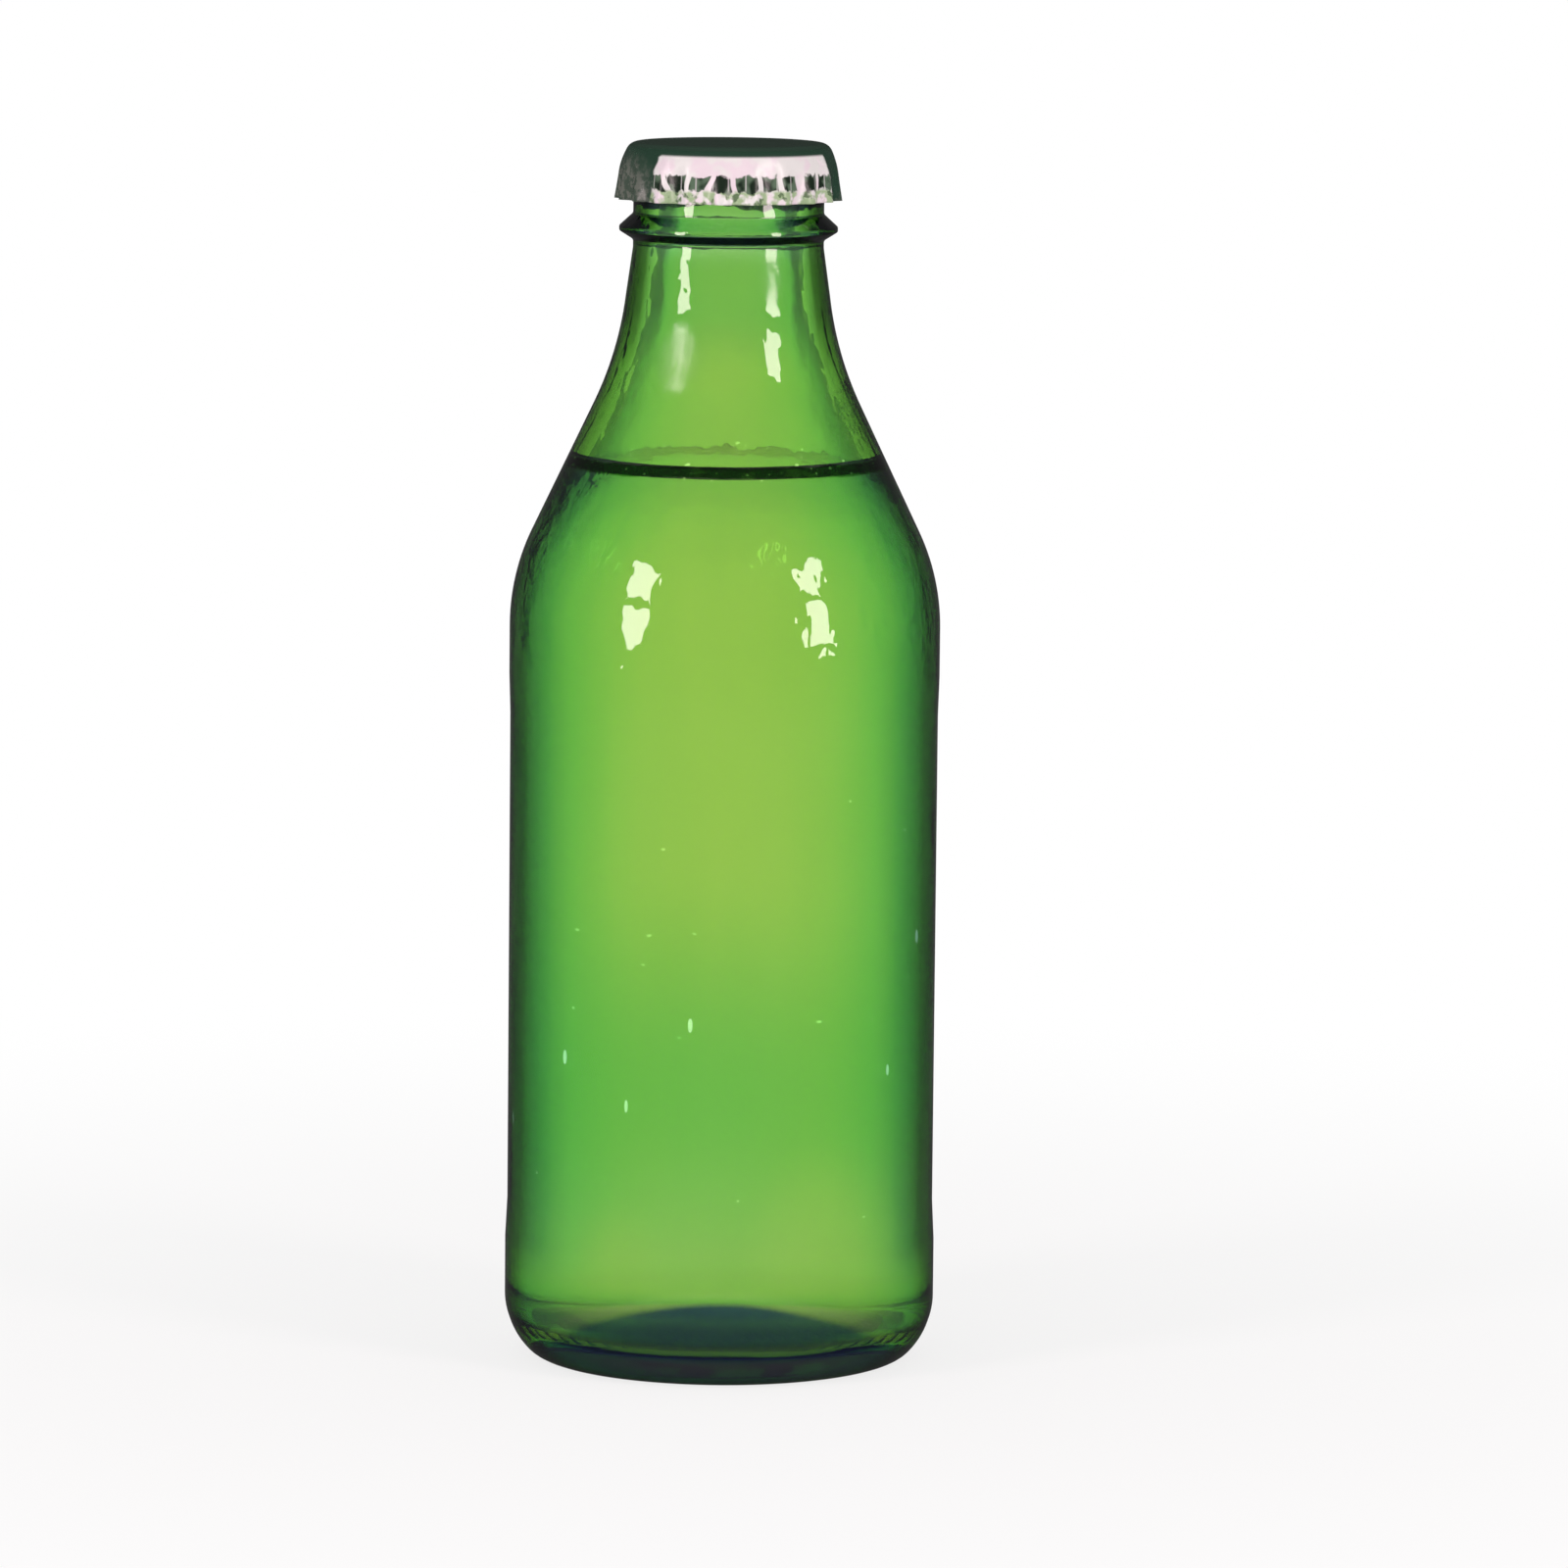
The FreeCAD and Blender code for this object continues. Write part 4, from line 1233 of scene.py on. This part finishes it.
@dataclass
class CrownCap:
    """The crown cap: one sheet, pressed over the lip and crimped in flutes under the bead."""

    size: BottleSizes
    sheet: float = 0.24
    fit: float = 0.1
    land: float = 1.75
    corner: float = 1.6
    flare: float = 25.0
    height: float = 7.1
    flutes: int = 21
    depth: float = 0.86
    sharpness: float = 2.6
    growth: float = 1.3
    dome_radius: float = 8.4
    dome_rise: float = 0.2

    @property
    def top(self) -> float:
        """Level of the flat ring round the cap's top panel."""
        return self.size.lip + self.sheet

    @property
    def corner_centre(self) -> tuple[float, float]:
        """Centre of the round corner between the top and the skirt."""
        return self.size.neck_radius + self.size.bead_proud - self.land, self.top - self.corner

    def skirt(self, inset: float, steps: int = 24) -> list[tuple[float, float]]:
        """Gives the roots of the flutes as points down the skirt.

        Args:
            inset: 0 for the outer side, the sheet's thickness for the inner side.
            steps: Number of points.

        Returns:
            Pairs of reach and level, from the corner to the rim.
        """
        centre = self.corner_centre
        end, level = polar(centre, self.corner, self.flare)
        slope = math.tan(math.radians(self.flare))
        grip = self.size.neck_radius + self.size.bead_proud + self.fit + self.sheet
        draw = 2 * (grip - end) / slope
        drop = level - (self.top - self.height)
        points = []
        for step in range(1, steps + 1):
            down = drop * step / steps
            left = max(0.0, 1 - down / draw)
            lean = math.cos(math.atan(slope * left))
            points.append((grip - (grip - end) * left ** 2 - inset / lean, level - down))
        return points

    def flute(self, vert: bmesh.types.BMVert, crest: bmesh.types.BMLayerItem) -> None:
        """Moves a vertex of the skirt out by the flute that it lies on, and notes its crest."""
        level = polar(self.corner_centre, self.corner, self.flare)[1]
        down = (level - vert.co.z / MM) / (level - (self.top - self.height))
        reach = math.hypot(vert.co.x, vert.co.y)
        if down <= 0 or reach < (self.size.neck_radius * MM):
            return
        turn = math.atan2(vert.co.y, vert.co.x) % (2 * math.pi)
        share = turn * self.flutes / (2 * math.pi) % 1.0
        wave = math.sin(math.pi * share) ** self.sharpness
        vert[crest] = wave
        out = self.depth * MM * min(1.0, down) ** self.growth * wave
        vert.co.x *= 1 + out / reach
        vert.co.y *= 1 + out / reach

    def build(self, finish: bpy.types.Material) -> bpy.types.Object:
        """Builds the cap and dresses it.

        Args:
            finish: The cap's material.

        Returns:
            The cap, which stands for the CAD node.
        """
        mesh = bmesh.new()
        pen = Pen(mesh, (0.0, self.top + self.dome_rise))
        ball = (self.dome_radius ** 2 + self.dome_rise ** 2) / (2 * self.dome_rise)
        sweep = math.degrees(math.asin(self.dome_radius / ball))
        pen.arc((0.0, self.top + self.dome_rise - ball), -sweep, 12)
        centre = self.corner_centre
        pen.line(centre[0], self.top, 6)
        pen.arc(centre, self.flare - 90, 12)
        outer, inner = self.skirt(0.0), self.skirt(self.sheet)
        for point in outer:
            pen.line(*point)
        for point in reversed(inner):
            pen.line(*point)
        pen.line(*polar(centre, self.corner - self.sheet, self.flare))
        pen.arc(centre, 90 - self.flare, 8)
        pen.line(0.0, self.top - self.sheet, 8)
        pen.turn(self.flutes * 18)
        crest = mesh.verts.layers.float.new("crest")
        for vert in mesh.verts:
            self.flute(vert, crest)
        piece = finish_piece(mesh, "cap_shell", finish)
        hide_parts("crown_cap")
        return piece


@dataclass
class Lamp:
    """A soft rectangular lamp that faces the bottle."""

    name: str
    azimuth: float
    elevation: float
    width: float
    height: float
    radiance: float
    colour: tuple[float, float, float]
    distance: float = 0.9

    def build(self, aim: Vector) -> bpy.types.Object:
        """Places the lamp, turned towards aim.

        Args:
            aim: The point that it faces.

        Returns:
            The lamp's object.
        """
        data = bpy.data.lights.new(self.name, "AREA")
        data.shape = "RECTANGLE"
        data.size, data.size_y = self.width, self.height
        data.energy = self.radiance * math.pi * self.width * self.height
        data.color = self.colour
        lamp = bpy.data.objects.new(self.name, data)
        turn, rise = math.radians(self.azimuth), math.radians(self.elevation)
        away = Vector((math.sin(turn) * math.cos(rise), -math.cos(turn) * math.cos(rise),
                       math.sin(rise)))
        place = aim + away * self.distance
        lamp.matrix_world = Matrix.Translation(place) @ away.to_track_quat("Z", "Y").to_matrix().to_4x4()
        lamp.visible_camera = False
        lamp.visible_transmission = False
        bpy.context.scene.collection.objects.link(lamp)
        return lamp


@dataclass
class Studio:
    """The pale floor, the white surroundings, the lamps and the camera."""

    lens: float = 208.3
    place: tuple[float, float, float] = (0.0, -1.140, 0.2163)
    tilt: float = 7.156
    pan: float = -0.385
    roll: float = 0.57
    world_light: float = 0.55
    gloss_light: float = 0.06

    @staticmethod
    def looked_at(graph: Graph, *rays: Ray) -> bpy.types.NodeSocket:
        """Gives 1 for these kinds of ray and 0 for the others."""
        path = graph.node("LightPath")
        total = path.outputs[rays[0].value]
        for ray in rays[1:]:
            total = graph.maths("MAXIMUM", total, path.outputs[ray.value])
        return total

    def build_floor(self) -> bpy.types.Object:
        """Builds the floor, which turns to plain white away from the bottle."""
        mesh = bmesh.new()
        bmesh.ops.create_grid(mesh, x_segments=8, y_segments=8, size=12.0)
        data = bpy.data.meshes.new("pale_floor")
        mesh.to_mesh(data)
        mesh.free()
        floor = bpy.data.objects.new("pale_floor", data)
        bpy.context.scene.collection.objects.link(floor)
        material = bpy.data.materials.new("pale_floor")
        material.use_nodes = True
        material.node_tree.nodes.clear()
        graph = Graph(material.node_tree)
        plain = graph.node("BsdfDiffuse")
        plain.inputs["Color"].default_value = (0.86, 0.86, 0.86, 1.0)
        glow = graph.node("Emission")
        mix, out = graph.node("MixShader"), graph.node("OutputMaterial")
        length = graph.node("VectorMath", operation="LENGTH")
        graph.feed(length.inputs[0], graph.node("TexCoord").outputs["Object"])
        away = length.outputs["Value"]
        seen = graph.maths("MULTIPLY", self.looked_at(graph, Ray.CAMERA),
                           graph.spread(away, 0.05, 0.30, 0.78, 1.0))
        glossy, through = self.looked_at(graph, Ray.GLOSSY), self.looked_at(graph, Ray.THROUGH)
        shown = graph.maths("MAXIMUM", glossy, through)
        white, gloss = (1.0, 1.0, 1.0, 1.0), (self.gloss_light,) * 3 + (1.0,)
        mirrored = graph.blend(glossy, white, gloss)
        graph.feed(glow.inputs["Color"], graph.blend(through, mirrored, white))
        graph.feed(mix.inputs[0], graph.maths("MAXIMUM", seen, shown))
        graph.feed(mix.inputs[1], plain.outputs[0])
        graph.feed(mix.inputs[2], glow.outputs[0])
        graph.feed(out.inputs["Surface"], mix.outputs[0])
        data.materials.append(material)
        return floor

    def build_world(self) -> None:
        """Builds the white surroundings, which dim overhead for what glass and metal show."""
        world = bpy.data.worlds.new("white_surroundings")
        bpy.context.scene.world = world
        world.use_nodes = True
        world.node_tree.nodes.clear()
        graph = Graph(world.node_tree)
        parts = graph.node("SeparateXYZ")
        graph.feed(parts.inputs[0], graph.node("TexCoord").outputs["Generated"])
        band = graph.spread(parts.outputs["Z"], 0.55, 0.90, 1.0, 0.12)
        mirrored = graph.blend(self.looked_at(graph, Ray.GLOSSY),
                               (self.world_light,) * 3 + (1.0,), (self.gloss_light,) * 3 + (1.0,))
        behind = graph.blend(self.looked_at(graph, Ray.THROUGH), mirrored, band)
        seen = graph.blend(self.looked_at(graph, Ray.CAMERA), behind, (1.0, 1.0, 1.0, 1.0))
        light = graph.node("Background")
        graph.feed(light.inputs["Color"], seen)
        out = graph.node("OutputWorld")
        graph.feed(out.inputs["Surface"], light.outputs[0])

    def build_camera(self) -> bpy.types.Object:
        """Places the camera."""
        data = bpy.data.cameras.new("camera")
        data.lens = self.lens
        data.sensor_width = 36.0
        data.clip_end = 60.0
        camera = bpy.data.objects.new("camera", data)
        turn = (Matrix.Rotation(math.radians(self.pan), 4, "Z")
                @ Matrix.Rotation(math.radians(90 - self.tilt), 4, "X")
                @ Matrix.Rotation(math.radians(self.roll), 4, "Z"))
        camera.matrix_world = Matrix.Translation(self.place) @ turn
        bpy.context.scene.collection.objects.link(camera)
        bpy.context.scene.camera = camera
        return camera

    def build(self) -> None:
        """Builds everything round the bottle."""
        self.build_camera()
        self.build_floor()
        self.build_world()
        aim = Vector((0.0, 0.0, 0.1))
        warm = (1.0, 0.82, 0.84)
        for name, azimuth in (("left", -50.0), ("right", 50.0)):
            Lamp(f"{name}_high_lamp", azimuth, 24.4, 0.22, 0.24, 13.0, warm).build(aim)
            Lamp(f"{name}_low_lamp", azimuth, 3.4, 0.20, 0.29, 13.0, warm).build(aim)
        scene = bpy.context.scene
        scene.view_settings.view_transform = "Standard"


def main() -> None:
    """Builds the bottle and its surroundings in order and reports each piece."""
    logging.basicConfig(level=logging.INFO, format="%(name)s: %(message)s")
    size, uneven, effects = BottleSizes.fitted(), Unevenness(), Effects.build()
    drink = Drink(size, uneven)
    Studio().build()
    made = (
        BottleGlass(size, uneven).build(GreenGlass(size.drink_level * MM).make(effects),
                                        StippledFootPaintedShade().make(effects)),
        drink.build(ClearDrink().make(effects)),
        *Bubbles(size, uneven, drink).build(PaleBubble().make(effects)),
        CrownCap(size).build(CapLacquer().make(effects)),
    )
    for piece in made:
        LOG.info("%s: %d faces", piece.name, len(piece.data.polygons))


if __name__ == "__main__":
    main()
